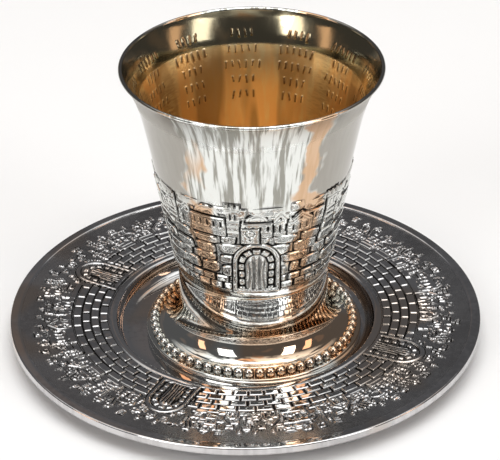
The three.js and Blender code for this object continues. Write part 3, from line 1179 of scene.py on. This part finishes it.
@dataclass(frozen=True)
class House:
    """One house, tower or tree of the town. The places of its parts are shares of its width and height."""

    kind: Building
    width: float
    height: float

    def stamp(self, spot: Spot) -> None:
        """Stamps the house with its windows, roof lines and joints.

        Args:
            spot: Where it stands.
        """
        stamps = {
            Building.DOME: self._dome,
            Building.GABLE: self._gable,
            Building.TOWER: self._tower,
            Building.TREE: self._tree,
        }
        stamps[self.kind](spot)

    def _windows(self, spot: Spot, count: int, window: Form, row: float) -> None:
        """Presses a row of windows.

        Args:
            spot: Where the row's middle stands.
            count: How many there are.
            window: The form of each.
            row: How wide the row is.
        """
        for number in range(count):
            shift = ((number + 0.5) / count - 0.5) * row
            spot.aside(shift).press(window, depth=0.5, edge=0.22)

    def _dome(self, spot: Spot) -> None:
        """Stamps a domed hall: its walls, dome, eaves, the dome's rib, its windows and their sill.

        Args:
            spot: Where it stands.
        """
        wide, tall = self.width, self.height
        rise = 0.4 * wide
        eaves = tall - rise
        roof = spot.up(eaves)
        spot.stand(block(wide, eaves))
        roof.stand(dome(0.8 * wide, rise), share=1.05, edge=1.2)
        roof.up(-0.2).press(block(wide, 0.4), depth=0.4, edge=0.14)
        roof.press(dome(0.56 * wide, 0.3 * wide).rib(0.36), depth=0.3, edge=0.14)
        self._windows(spot.up(0.45 * eaves), max(2, round(wide / 2.2)), arch(0.9, 0.35 * eaves), 0.92 * wide)
        spot.up(0.3 * eaves).press(block(0.9 * wide, 0.36), depth=0.35, edge=0.14)

    def _gable(self, spot: Spot) -> None:
        """Stamps a house with a pitched roof: its wall, the line round it, its windows and the one over them.

        Args:
            spot: Where it stands.
        """
        wide, tall = self.width, self.height
        eaves = 0.6 * tall
        spot.stand(gable(wide, tall, eaves))
        spot.press(gable(wide - 1.3, tall - 1.1, eaves - 0.4).rib(0.36), depth=0.35, edge=0.14)
        self._windows(spot.up(0.25 * eaves), max(2, round(wide / 2.4)), arch(0.9, 0.5 * eaves), 0.8 * wide)
        spot.up(eaves + 0.1).press(dome(1.2, 1.2), depth=0.4, edge=0.2)

    def _tower(self, spot: Spot) -> None:
        """Stamps a tower: its shaft, three merlons, the line under them, two windows and courses of stone.

        Args:
            spot: Where it stands.
        """
        wide, tall = self.width, self.height
        merlon = block(0.24 * wide, wide / 2)
        spot.stand(block(0.86 * wide, tall - wide / 4))
        for side in (-1, 0, 1):
            spot.aside(side * 0.38 * wide, tall).up(tall - merlon.height).stand(merlon, edge=0.22)
        spot.up(tall - 0.55 * wide).press(block(0.9 * wide, 0.34), depth=0.35, edge=0.14)
        self._windows(spot.up(0.5 * tall), 2, arch(0.8, 0.2 * tall), 0.6 * wide)
        for course in (0.16, 0.32, 0.46):
            spot.up(course * tall).press(block(0.8 * wide, 0.32), depth=0.32, edge=0.13)

    def _tree(self, spot: Spot) -> None:
        """Stamps a slim pointed tree with three cuts across it.

        Args:
            spot: Where it stands.
        """
        spot.stand(leaf(self.width, self.height), edge=0.45)
        for branch in range(3):
            cut = spot.up((0.25 + 0.18 * branch) * self.height)
            cut.press(block(0.7 * self.width, 0.3), depth=0.3, edge=0.12)


# ---------------------------------------------------------------- the cup


@dataclass(frozen=True)
class Beading:
    """The ring of beads on the foot, sizes in millimetres."""

    count: int = 60
    circle: float = 29.6
    radius: float = 1.45
    height: float = 4.1
    overlap: float = 1.02
    meridians: int = 10
    rings: int = 10

    def build(self, axis: Axis) -> bpy.types.Object:
        """Makes the ring of beads.

        Args:
            axis: The axis that it runs round.

        Returns:
            The ring's object.
        """
        round_bead = np.arange(self.meridians) * 2 * math.pi / self.meridians
        down_bead = np.linspace(0, math.pi, self.rings + 1)[:, None]
        unit = np.stack([
            np.sin(down_bead) * np.cos(round_bead),
            np.sin(down_bead) * np.sin(round_bead),
            np.cos(down_bead) + 0 * round_bead,
        ], axis=-1)
        faces = grid_faces(self.rings + 1, self.meridians)[:, [0, 3, 2, 1]]
        half_pitch = math.pi * self.circle / self.count
        local = unit * np.array([self.radius, half_pitch * self.overlap, self.radius])
        out, side, up = local[..., 0] + self.circle, local[..., 1], local[..., 2] + self.height
        points = []
        for bead in range(self.count):
            turn = math.radians((bead + 0.5) * FULL_TURN / self.count)
            x = axis.x + MM * (out * math.cos(turn) - side * math.sin(turn))
            y = axis.y + MM * (out * math.sin(turn) + side * math.cos(turn))
            points.append(np.stack([x, y, axis.base + MM * up], axis=-1).reshape(-1, 3))
        quads = [faces + bead * len(points[0]) for bead in range(self.count)]
        # Painted shade: the beads are darker where they meet and on their undersides.
        between = np.abs(unit[..., 1]) ** 3 * 0.9
        below = np.clip(-unit[..., 2] - 0.35, 0, 1) * 0.8
        soot_and_shade = np.tile(np.clip(between + below, 0, 1).ravel(), self.count)
        return surface("cup_beads", np.concatenate(points), np.concatenate(quads), {"soot_and_shade": soot_and_shade})


@dataclass(frozen=True)
class Inscription:
    """Columns of rows of shallow strokes inside the bowl, which are no letters."""

    first: float = 5.0
    spacing: float = 30.0
    rows: int = 5
    head: float = 83.4
    row_height: float = 4.5
    marks: tuple[int, int] = (4, 7)
    pitch: float = 2.0
    width: float = 0.62
    heights: Pair = (2.0, 2.7)
    lean: float = 0.25
    depth: float = 0.22

    def stamp(self, relief: Relief) -> None:
        """Presses the strokes.

        Args:
            relief: The lining's band.
        """
        for turn in np.arange(self.first, FULL_TURN, self.spacing):
            for row in range(self.rows):
                spot = Spot(relief, turn, self.head - row * self.row_height, 0.0)
                count = int(relief.random.integers(*self.marks))
                for mark in range(count):
                    tall = float(relief.random.uniform(*self.heights))
                    lean = float(relief.random.uniform(-self.lean, self.lean))
                    place = spot.aside((mark - (count - 1) / 2) * self.pitch)
                    place.up(-tall).press(stroke(self.width, tall, lean), depth=self.depth, edge=0.24)


@dataclass
class Cup:
    """The beaker on its hollow foot. Millimetres and degrees, with heights over the foot's underside."""

    axis: Axis
    wall: float = 1.2
    height: float = 88.4
    rim_round: float = 0.6
    waist_height: float = 24.8
    waist_radius: float = 22.4
    spread: float = 11.5
    flare: float = 3.6
    flare_power: float = 11.0
    floor: float = 1.4
    fillet: float = 2.4
    neck_radius: float = 22.0
    neck_base: float = 12.1
    cove: Pair = (6.0, 8.6)
    foot_radius: float = 32.0
    foot_lip: float = 3.0
    foot_round: float = 0.5
    lip_round: float = 0.3
    beading: Beading = Beading()
    relief: float = 0.6
    relief_step: float = 0.196
    columns: int = 860
    weathering: float = 0.028
    masonry_base: float = 27.7
    band_base: float = 26.8
    bricks: int = 36
    brick_courses: int = 2
    brick_height: float = 2.6
    brick_joint: float = 0.46
    brick_phase: float = 1.5
    stones_base: float = 32.9
    stone_courses: tuple[tuple[int, float], ...] = (
        (20, 4.2), (24, 3.4), (18, 4.0), (22, 3.3), (20, 3.9), (24, 3.2), (21, 3.6))
    stone_phase: float = 5.3
    behind_town: float = 0.6
    piece_seam: float = 43.9
    masonry_top: float = 47.7
    band_top: float = 62.2
    gate_turn: float = -88.0
    gate: Gate = Gate(13.6, 18.6, 1.5, 3)
    keystone: Keystone = Keystone()
    keystone_aside: float = -4.0
    inscription: Inscription = Inscription()
    lining_columns: int = 700
    lining_rows: int = 110
    lining_seam: float = 60.0
    # How far under the rim the gilt is polished; there its colour is also painted dim, as a darker
    # reflection.
    polished_rim: float = 9.0
    stem_columns: int = 256
    foot_columns: int = 192
    flare_columns: int = 288
    # How far under the top the satin flare starts and ends, and over what height it does.
    satin: tuple[Pair, Pair] = ((12.0, 6.0), (1.6, 0.8))

    @property
    def rim(self) -> float:
        """The height at which the rolled lip starts."""
        return self.height - self.rim_round

    def bowl(self, heights: Array) -> Array:
        """Finds the bowl's outer radius.

        Args:
            heights: Where.

        Returns:
            The radii there.
        """
        share = (np.asarray(heights, dtype=float) - self.waist_height) / (self.rim - self.waist_height)
        flare = self.flare * np.clip(share, 0, None) ** self.flare_power
        return self.waist_radius + self.spread * share + flare

    def inner(self, heights: Array) -> Array:
        """The bowl's inner radius at some heights."""
        return self.bowl(heights) - self.wall

    def satin_band(self, heights: Array) -> Array:
        """How satin the metal is at some heights: only where the flare turns out, short of the rim's edge."""
        starts, ends = (eased(reach - self.height + heights, edge) for reach, edge in self.satin)
        return starts * (1.0 - ends)

    def carve(self) -> Relief:
        """Stamps the whole relief of the bowl.

        Returns:
            The stamped band.
        """
        rows = round((self.band_top - self.band_base) / self.relief_step) + 1
        climbs = np.linspace(self.band_base, self.band_top, rows)
        relief = Relief(Layout.WALL, self.columns, climbs, self.bowl, SEED)
        self._courses(relief)
        turns = (self.gate_turn, self.gate_turn + FULL_TURN / 2)
        for turn in turns:
            self._town(relief, turn)
        for turn in turns:
            self.gate.stamp(Spot(relief, turn, self.masonry_base - 0.6, self.relief * 1.1))
            over = self.masonry_base + self.gate.height - 0.8
            self.keystone.stamp(Spot(relief, turn + self.keystone_aside, over, self.relief * 1.05))
        relief.weather(self.weathering)
        return relief

    def _courses(self, relief: Relief) -> None:
        """Stamps the wall's bricks, and the field stones over them.

        Args:
            relief: The band that they are on.
        """
        half_brick = 0.5 * FULL_TURN / self.bricks
        bricks = Masonry(self.bricks, self.brick_height, self.brick_joint, self.relief)
        for course in range(self.brick_courses):
            phase = self.gate_turn + half_brick * (1 + course) + self.brick_phase
            bricks.stamp(relief, self.masonry_base + course * self.brick_height, phase)
        foot = self.stones_base
        for number, (count, tall) in enumerate(self.stone_courses):
            share = 1.0 if foot < self.masonry_top else self.behind_town
            Rubble(count, tall, self.relief * share).stamp(relief, foot, number * self.stone_phase)
            foot += tall

    def _town(self, relief: Relief, turn: float) -> None:
        """Stamps one half of the town over the wall.

        Args:
            relief: The band that it is on.
            turn: The half's gate, in degrees.
        """
        hill = self.masonry_top
        behind = [
            (14, Building.GABLE, 6.5, 9.5), (40, Building.DOME, 8, 10), (62, Building.GABLE, 7, 9),
            (87, Building.TOWER, 4.5, 11.5), (110, Building.DOME, 8, 9.5), (136, Building.GABLE, 7, 9.5),
            (166, Building.TOWER, 4.5, 12),
        ]
        front = [
            (0, Building.DOME, 9, 9), (27, Building.GABLE, 8, 8), (50, Building.TOWER, 5, 11),
            (74, Building.DOME, 10, 9), (98, Building.GABLE, 9, 9), (122, Building.TOWER, 5, 10),
            (150, Building.DOME, 11, 11),
        ]
        trees = [(20, 7.5), (57, 6.5), (83, 7.0), (116, 7.5), (130, 6.5), (172, 7.0)]
        for past, kind, width, height in behind:
            House(kind, width, height).stamp(Spot(relief, turn + past, hill - 0.2, self.relief * 0.62))
        for past, kind, width, height in front:
            spot = Spot(relief, turn + past, hill - 0.2, self.relief)
            spot.up(-0.1).clear(block(width + 0.7, height - 0.25 * width))
            House(kind, width, height).stamp(spot)
        for past, height in trees:
            House(Building.TREE, 1.9, height).stamp(Spot(relief, turn + past, hill - 0.2, self.relief * 1.05))

    def stem(self) -> Profile:
        """Draws the cove over the foot, the neck and the plain foot of the bowl.

        Returns:
            The profile.
        """
        centre = (self.neck_radius + self.cove[0], self.neck_base)
        cove = curve(centre, (-self.cove[0], -self.cove[1]), 88, 0, steps=26)
        step = self.waist_radius - self.neck_radius
        swelling = self.neck_radius + step * (1 - np.cos(np.linspace(0, math.pi, 5))) / 2
        waist = list(zip(swelling, np.linspace(self.waist_height - 1.2, self.waist_height, 5)))
        low = [(float(self.bowl(z)), z) for z in np.linspace(self.waist_height + 0.3, self.band_base, 5)]
        neck = dense([(self.neck_radius, self.neck_base + 0.5), waist[0]], 1.5)
        return dense(cove, 0.8) + neck + waist[1:] + low

    def foot(self) -> Profile:
        """Draws the hollow under the foot, the foot's lip and the ground that the beads stand on.

        Returns:
            The profile.
        """
        wide, low, high = self.foot_radius, self.lip_round, self.foot_round
        centre = (self.neck_radius + self.cove[0], self.neck_base)
        cove_base = self.neck_base - self.cove[1]
        return (
            dense([(0.0, self.waist_height), (self.neck_radius - self.wall, self.waist_height)], 5.0)
            + curve(centre, (-self.cove[0] - self.wall, -self.cove[1] - self.wall), 0, 90, steps=14)
            + [(wide - self.wall, cove_base - self.wall), (wide - self.wall, 0.0)]
            + curve((wide - low, low), (low, low), -90, 0, steps=3)
            + curve((wide - high, self.foot_lip - high), (high, high), 0, 90, steps=4)
            + [(self.beading.circle + 1.2, self.foot_lip), (self.beading.circle, cove_base), self.stem()[0]]
        )

    def flared(self, seam: float) -> Profile:
        """Draws the smooth flare over the relief, and the rolled lip.

        Args:
            seam: The height at which the relief ends.

        Returns:
            The profile.
        """
        rise = [(float(self.bowl(z)), z) for z in np.linspace(seam, self.rim, 44)]
        centre = (rise[-1][0] - self.rim_round, self.rim)
        return rise + curve(centre, (self.rim_round, self.rim_round), 20, 180, steps=8)

    def lining(self) -> bpy.types.Object:
        """Makes the gilt inside, with its columns of shallow strokes.

        Returns:
            The lining's object.
        """
        climbs = np.linspace(self.lining_seam, self.rim, self.lining_rows + 1)
        relief = Relief(Layout.WALL, self.lining_columns, climbs, self.inner, SEED + 1)
        self.inscription.stamp(relief)
        strokes = relief.heights[::-1]
        climbs = climbs[::-1]
        inner_foot = self.waist_height + self.floor + self.fillet
        low = [(float(self.inner(z)), z) for z in np.linspace(self.lining_seam, inner_foot, 14)[1:]]
        low += curve((low[-1][0] - self.fillet, inner_foot), (self.fillet, self.fillet), -15, -90, steps=5)
        low += dense([low[-1], (0.0, low[-1][1])], 4.0)[1:]
        radii, heights = np.array(low).T
        turns = relief.turns[None, :]
        points = np.concatenate([
            self.axis.turned(turns, self.inner(climbs)[:, None] + strokes, climbs[:, None]),
            self.axis.turned(turns, radii[:, None], heights[:, None]),
        ])
        places = np.concatenate([climbs, heights])[:, None] + 0 * turns
        # The polished band under the rim, whose colour the gilt also paints dim as a darker reflection.
        band = eased(places - (self.rim - self.polished_rim), 0.6)
        soot_and_shade = np.concatenate([np.clip(-strokes / 0.2, 0, 1), np.zeros((len(low), self.lining_columns))])
        return skin("cup_lining", points, {"band": band, "soot_and_shade": soot_and_shade})

    def build(self, silver: bpy.types.Material, gilt: bpy.types.Material) -> Dressed:
        """Makes and dresses every piece of the cup.

        Args:
            silver: The outside's finish.
            gilt: The inside's finish.

        Returns:
            Each piece with its slot.
        """
        relief = self.carve()
        soot_and_shade = relief.soot_and_shade(self.relief, (3, 3))
        split = int(np.searchsorted(relief.climbs, self.piece_seam))
        flare = self.flared(float(relief.climbs[-1]))
        made = [
            relief.piece("cup_wall_stones", self.axis, slice(0, split + 1), soot_and_shade),
            relief.piece("cup_wall_town", self.axis, slice(split, None), soot_and_shade),
            self.beading.build(self.axis),
            self.axis.revolve("cup_stem", self.stem(), self.stem_columns, self.satin_band),
            self.axis.revolve("cup_foot", self.foot(), self.foot_columns, self.satin_band),
            self.axis.revolve("cup_flare", flare, self.flare_columns, self.satin_band),
        ]
        lining = self.lining()
        dress(made, silver)
        dress([lining], gilt)
        return [(thing, Plate.SILVER) for thing in made] + [(lining, Plate.GILT)]


# ---------------------------------------------------------------- the saucer


@dataclass
class Saucer:
    """The saucer. Millimetres and degrees, with heights over the surface that it stands on."""

    axis: Axis
    sheet: float = 1.0
    radius: float = 70.0
    height: float = 7.5
    border_width: float = 3.1
    border_rise: float = 0.45
    border_fall: float = 0.75
    border_edge: float = 0.5
    skirt: float = 2.2
    well_radius: float = 34.8
    ring_inner: float = 38.4
    ring_outer: float = 40.9
    ring_height: float = 6.2
    ring_fall: float = 0.5
    bricks: int = 60
    brick_joint: float = 0.3
    brick_lift: float = 0.85
    course_height: float = 2.65
    course_phases: tuple[float, ...] = (1.0, 4.0, 0.5, 3.0)
    relief: float = 0.45
    relief_step: float = 0.193
    columns: int = 1200
    weathering: float = 0.03
    gates: int = 4
    gate_turn: float = 64.0
    gate: Gate = Gate(12.4, 16.4, 1.5, 4)
    patina: float = 0.3
    plain_columns: int = 256

    @property
    def field_edge(self) -> float:
        """The radius at which the field ends and the border starts."""
        return self.radius - self.border_width

    @property
    def wall_head(self) -> float:
        """The radius at which the courses of brick end and the town starts."""
        return self.ring_outer + len(self.course_phases) * self.course_height

    def ground(self, radii: Array) -> Array:
        """The height of the field at some radii."""
        share = (np.asarray(radii, dtype=float) - self.ring_outer) / (self.field_edge - self.ring_outer)
        return self.ring_height + (self.height - self.border_rise - self.ring_height) * share

    def carve(self) -> Relief:
        """Stamps the whole relief of the field.

        Returns:
            The stamped band.
        """
        rows = round((self.field_edge - self.ring_outer) / self.relief_step) + 1
        climbs = np.linspace(self.ring_outer, self.field_edge, rows)
        relief = Relief(Layout.DISH, self.columns, climbs, self.ground, SEED + 2)
        lift = self.relief * self.brick_lift
        bricks = Masonry(self.bricks, self.course_height, self.brick_joint, lift, uneven=0.12, edge=0.2)
        for course, phase in enumerate(self.course_phases):
            bricks.stamp(relief, self.ring_outer + course * self.course_height, phase)
        turns = [self.gate_turn + quarter * FULL_TURN / self.gates for quarter in range(self.gates)]
        for quarter, turn in enumerate(turns):
            self._town(relief, turn, 0.3 * (quarter % 2))
            self._groves(relief, turn)
            self._outskirts(relief, turn)
        for turn in turns:
            self.gate.stamp(Spot(relief, turn, self.ring_outer + 0.1, self.relief))
        relief.weather(self.weathering)
        return relief

    def _town(self, relief: Relief, turn: float, rise: float) -> None:
        """Stamps one quarter of the town behind the wall, over broken courses.

        Args:
            relief: The band that it is on.
            turn: The quarter's gate, in degrees.
            rise: How much further out its houses stand.
        """
        broken = Masonry(self.bricks, self.course_height, 0.5, self.relief * 0.9, uneven=0.15, ragged=0.4)
        for start, end in ((9, 30), (47, 62), (68, 82)):
            span = ((turn + start) % FULL_TURN, (turn + end) % FULL_TURN)
            broken.stamp(relief, self.wall_head, self.course_phases[0], span)
        row = [
            (16, Building.TOWER, 4.6, 10.0), (22, Building.GABLE, 4.6, 6.5), (27, Building.TREE, 2.2, 9.0),
            (33, Building.GABLE, 5.4, 8.0), (40, Building.DOME, 8.0, 11.0), (48, Building.TREE, 2.0, 8.0),
            (55, Building.GABLE, 6.0, 7.5), (62, Building.DOME, 5.6, 7.5), (70, Building.TOWER, 6.0, 8.5),
            (77, Building.TREE, 2.0, 7.5), (81, Building.TREE, 1.8, 6.5),
        ]
        for past, kind, width, height in row:
            wander = relief.random.uniform(-0.6, 0.6)
            spot = Spot(relief, turn + past, self.wall_head - 0.2 + rise, self.relief * 0.98)
            House(kind, width, height).stamp(spot)
            if kind is Building.TREE:
                young = House(kind, width * 0.8, height * 0.75)
                young.stamp(Spot(relief, turn + past + 2.2 + wander, self.wall_head, self.relief))

    def _groves(self, relief: Relief, turn: float) -> None:
        """Stamps slanted strokes and low arcs between the houses.

        Args:
            relief: The band that they are on.
            turn: The quarter's gate, in degrees.
        """
        for past in (9, 36, 58, 74):
            for mark in range(4):
                spot = Spot(relief, turn + past + mark * 1.15, self.wall_head + 6.0, self.relief)
                spot.stand(stroke(0.62, 3.4, lean=0.35), share=0.8, edge=0.25)
        for past in (12, 44, 66, 79):
            spot = Spot(relief, turn + past, self.wall_head + 4.2, self.relief)
            spot.stand(dome(5.0, 3.0).rib(0.6), share=0.8, edge=0.25)

    def _outskirts(self, relief: Relief, turn: float) -> None:
        """Stamps small houses and trees behind the town, up to the smooth ground by the border.

        Args:
            relief: The band that they are on.
            turn: The quarter's gate, in degrees.
        """
        kinds = [Building.TREE, Building.GABLE, Building.DOME, Building.TREE, Building.TOWER, Building.GABLE]
        rows = (1.6, 6.4, 3.8, 8.6)
        edge = self.field_edge - 1.0
        for number in range(84):
            rise, taller, wander, lean = relief.random.uniform(0, 1, 4)
            past = -7.0 + number * 1.12
            kind = kinds[(number * 5 + number // 7) % len(kinds)]
            wide = 0.9 + 0.5 * wander if kind is Building.TREE else 1.9 + 1.3 * wander
            foot = self.wall_head + rows[number % len(rows)] + rise
            tall = min(2.0 + 1.6 * taller, edge - foot)
            lift = self.relief * (0.65 + 0.35 * rise)
            House(kind, wide, tall).stamp(Spot(relief, turn + past + wander, foot, lift))
            beside = Spot(relief, turn + past + 1.1, foot, self.relief)
            beside.stand(stroke(0.5, 1.3 + rise, lean=0.8 * (lean - 0.5)), share=0.8, edge=0.2)

    def profiles(self) -> dict[str, Profile]:
        """Draws the plain turned forms of the saucer.

        Returns:
            Each form's profile, by the piece's name.
        """
        edge, top, fall = self.border_edge, self.height, (self.border_fall, self.border_rise)
        base = top - self.skirt
        inside = self.radius - self.sheet
        brink = self.field_edge + self.border_fall
        border = (
            [(inside, base), (self.radius, base)]
            + dense([(self.radius, base), (self.radius, top - edge)], 0.6)[1:]
            + curve((self.radius - edge, top - edge), (edge, edge), 0, 90, steps=8)[1:]
            + dense([(self.radius - edge, top), (brink, top)], 0.7)[1:]
            + curve((brink, top - self.border_rise), fall, 90, 180, steps=7)[1:]
        )
        crown = (self.ring_outer + self.ring_inner) / 2
        half = (self.ring_outer - self.ring_inner) / 2
        shoulder = self.ring_height - self.ring_fall
        ring = curve((crown, shoulder), (half, self.ring_fall), 0, 180, steps=14)
        ring[0] = (self.ring_outer, self.ring_height)
        side = (self.ring_inner - self.well_radius, shoulder - self.sheet)
        well = (
            curve((self.well_radius, shoulder), side, 0, -90, steps=20)
            + dense([(self.well_radius, self.sheet), (0.0, self.sheet)], 3.0)[1:]
        )
        under = (
            dense([(0.0, 0.0), (self.well_radius + 0.33, 0.0)], 6.0)
            + dense([(36.8, 1.0), (38.4, 3.1), (38.9, 4.7)], 0.6)
            + dense([(38.9, 4.7), (self.field_edge, 6.05), (inside, 6.5)], 2.0)[1:]
            + [(inside, base)]
        )
        return {"saucer_border": border, "saucer_ring": ring, "saucer_well": well, "saucer_underside": under}

    def build(self, dark: bpy.types.Material) -> Dressed:
        """Makes and dresses every piece of the saucer.

        Args:
            dark: Its finish.

        Returns:
            Each piece with its slot.
        """
        relief = self.carve()
        bare = 1.0 - np.clip(relief.heights / (0.5 * self.relief), 0.0, 1.0)
        split = int(np.searchsorted(relief.climbs, self.wall_head + 0.6))
        soot_and_shade = relief.soot_and_shade(self.relief, (2, 1))
        soot_and_shade[:split] = relief.soot_and_shade(self.relief * self.brick_lift, (1, 2), start=0.1)[:split]
        soot_and_shade = np.maximum(soot_and_shade, self.patina * bare)
        made = [
            relief.piece("saucer_courses", self.axis, slice(0, split + 1), soot_and_shade),
            relief.piece("saucer_town", self.axis, slice(split, None), soot_and_shade),
        ]
        plain = self.profiles().items()
        made += [self.axis.revolve(name, profile, self.plain_columns) for name, profile in plain]
        dress(made, dark)
        return [(thing, Plate.DARK_SILVER) for thing in made]


# ---------------------------------------------------------------- the studio


@dataclass(frozen=True)
class Lamp:
    """A soft light: a rectangle that faces a point, sizes in metres."""

    name: str
    place: Triple
    size: Pair
    power: float
    colour: Colour = (1.0, 1.0, 1.0)

    def hang(self, target: Vector) -> None:
        """Adds the light.

        Args:
            target: The point that it faces.
        """
        lamp = bpy.data.lights.new(self.name, "AREA")
        lamp.shape = "RECTANGLE"
        lamp.size, lamp.size_y = self.size
        lamp.energy = self.power
        lamp.color = self.colour
        holder = bpy.data.objects.new(self.name, lamp)
        holder.location = self.place
        holder.rotation_euler = (target - Vector(self.place)).to_track_quat("-Z", "Y").to_euler()
        bpy.context.scene.collection.objects.link(holder)


@dataclass
class Studio:
    """The pale floor, the soft lights and the camera. Sizes in metres, angles in degrees."""

    target: Triple = (0.001596, 0.0, 0.03485)
    distance: float = 0.6645
    pitch: float = 31.16
    roll: float = -0.53
    lens: float = 163.58
    floor_size: float = 8.0
    floor_tone: Colour = (0.86, 0.86, 0.86)
    wall_tone: Colour = (0.115, 0.115, 0.12)
    ceiling_tone: Colour = (1.7, 1.72, 1.7)
    peach_tone: Colour = (1.5, 0.92, 0.58)
    ceiling_streaks: Waves = Waves(1.0, (5.0, 5.0, 0.8), 2.0)
    warm_patches: Waves = Waves(2.4, detail=1.0)
    lamps: list[Lamp] = field(default_factory=lambda: [
        Lamp("overhead", (0.0, -0.15, 1.5), (1.3, 0.9), 10.2, (0.98, 0.99, 1.0)),
        Lamp("front_left", (-1.1, -1.3, 1.1), (0.7, 0.9), 8.6),
        Lamp("front_right", (1.2, -1.0, 0.9), (0.5, 0.9), 6.6),
        Lamp("warm_left", (-1.0, -0.25, 0.42), (0.2, 0.5), 0.7, (1.0, 0.64, 0.43)),
        Lamp("warm_right", (1.0, -0.2, 0.46), (0.2, 0.5), 0.7, (1.0, 0.64, 0.43)),
    ])

    def floor(self) -> bpy.types.Object:
        """Lays the floor.

        Returns:
            The floor's object.
        """
        half = self.floor_size / 2
        points = half * np.array([(-1.0, -1.0, 0.0), (1.0, -1.0, 0.0), (1.0, 1.0, 0.0), (-1.0, 1.0, 0.0)])
        floor = surface("floor", points, np.array([[0, 1, 2, 3]]), {})
        nodes = Dressing("pale_floor", 0.0)
        grain = nodes.noise(Waves(30.0))
        tone = nodes.mix(grain, self.floor_tone, [part * 0.985 for part in self.floor_tone])
        dress([floor], nodes.finish(tone, 0.8 + grain * 0.05))
        return floor

    def room(self) -> None:
        """Surrounds the set with a dim room: dark walls, and a pale ceiling with soft streaks in it."""
        world = bpy.data.worlds.new("studio")
        world.use_nodes = True
        bpy.context.scene.world = world
        nodes = Nodes(world.node_tree)
        way = nodes.add("ShaderNodeTexCoord", {}, {}, "Generated")
        height = nodes.vector("DOT_PRODUCT", way, (0, 0, 1), "Value")
        streak = nodes.waves(way, self.ceiling_streaks).past(0.4, 8.0)
        warm = nodes.waves(way, self.warm_patches).past(0.59, 12.0)
        ceiling = nodes.mix(warm, self.ceiling_tone, self.peach_tone)
        wall = nodes.mix(warm * 0.06, self.wall_tone, self.peach_tone)
        colour = nodes.mix(height.past(0.64, 5.0) * streak, wall, ceiling)
        background = nodes.add("ShaderNodeBackground", {}, {"Color": colour})
        nodes.node("ShaderNodeOutputWorld", {}, {"Surface": background})

    def camera(self) -> None:
        """Sets up the camera."""
        lens = bpy.data.cameras.new("camera")
        lens.lens = self.lens
        lens.clip_start = 0.01
        camera = bpy.data.objects.new("camera", lens)
        pitch = math.radians(self.pitch)
        back = Vector((0.0, -math.cos(pitch), math.sin(pitch)))
        camera.location = Vector(self.target) + back * self.distance
        turn = back.to_track_quat("Z", "Y").to_matrix() @ Matrix.Rotation(math.radians(self.roll), 3, "Z")
        camera.rotation_euler = turn.to_euler()
        bpy.context.scene.collection.objects.link(camera)
        bpy.context.scene.camera = camera

    def build(self) -> None:
        """Builds the whole studio."""
        self.room()
        bpy.context.scene.view_settings.view_transform = "Standard"
        self.floor()
        for lamp in self.lamps:
            lamp.hang(Vector(self.target))
        self.camera()


# ---------------------------------------------------------------- the whole set


def axis_of(node: str) -> Axis:
    """Finds the upright axis of a node, which stands on the node's lowest height."""
    low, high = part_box(node)
    return Axis((low[0] + high[0]) / 2, (low[1] + high[1]) / 2, low[2])


def main() -> None:
    """Builds the set and the studio, and reports each piece."""
    logging.basicConfig(level=logging.INFO, format="%(name)s: %(message)s")
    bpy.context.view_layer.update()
    Studio().build()
    cup_axis = axis_of("cup")
    # The cup's silver, with reflections painted into its colour.
    silver = ReflectionPaintedPlate("silver", axis=(cup_axis.x, cup_axis.y)).material()
    dark = PolishedPlate("dark_silver").material()
    gilt = Gilding("gilt").material()
    made = {
        "cup": Cup(cup_axis).build(silver, gilt),
        "saucer": Saucer(axis_of("saucer")).build(dark),
    }
    for node, pieces in made.items():
        for piece, plate in pieces:
            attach(piece, "root")
            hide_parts(node)
            LOG.info("%s: %d triangles, for %s", piece.name, 2 * len(piece.data.polygons), node)


if __name__ == "__main__":
    main()
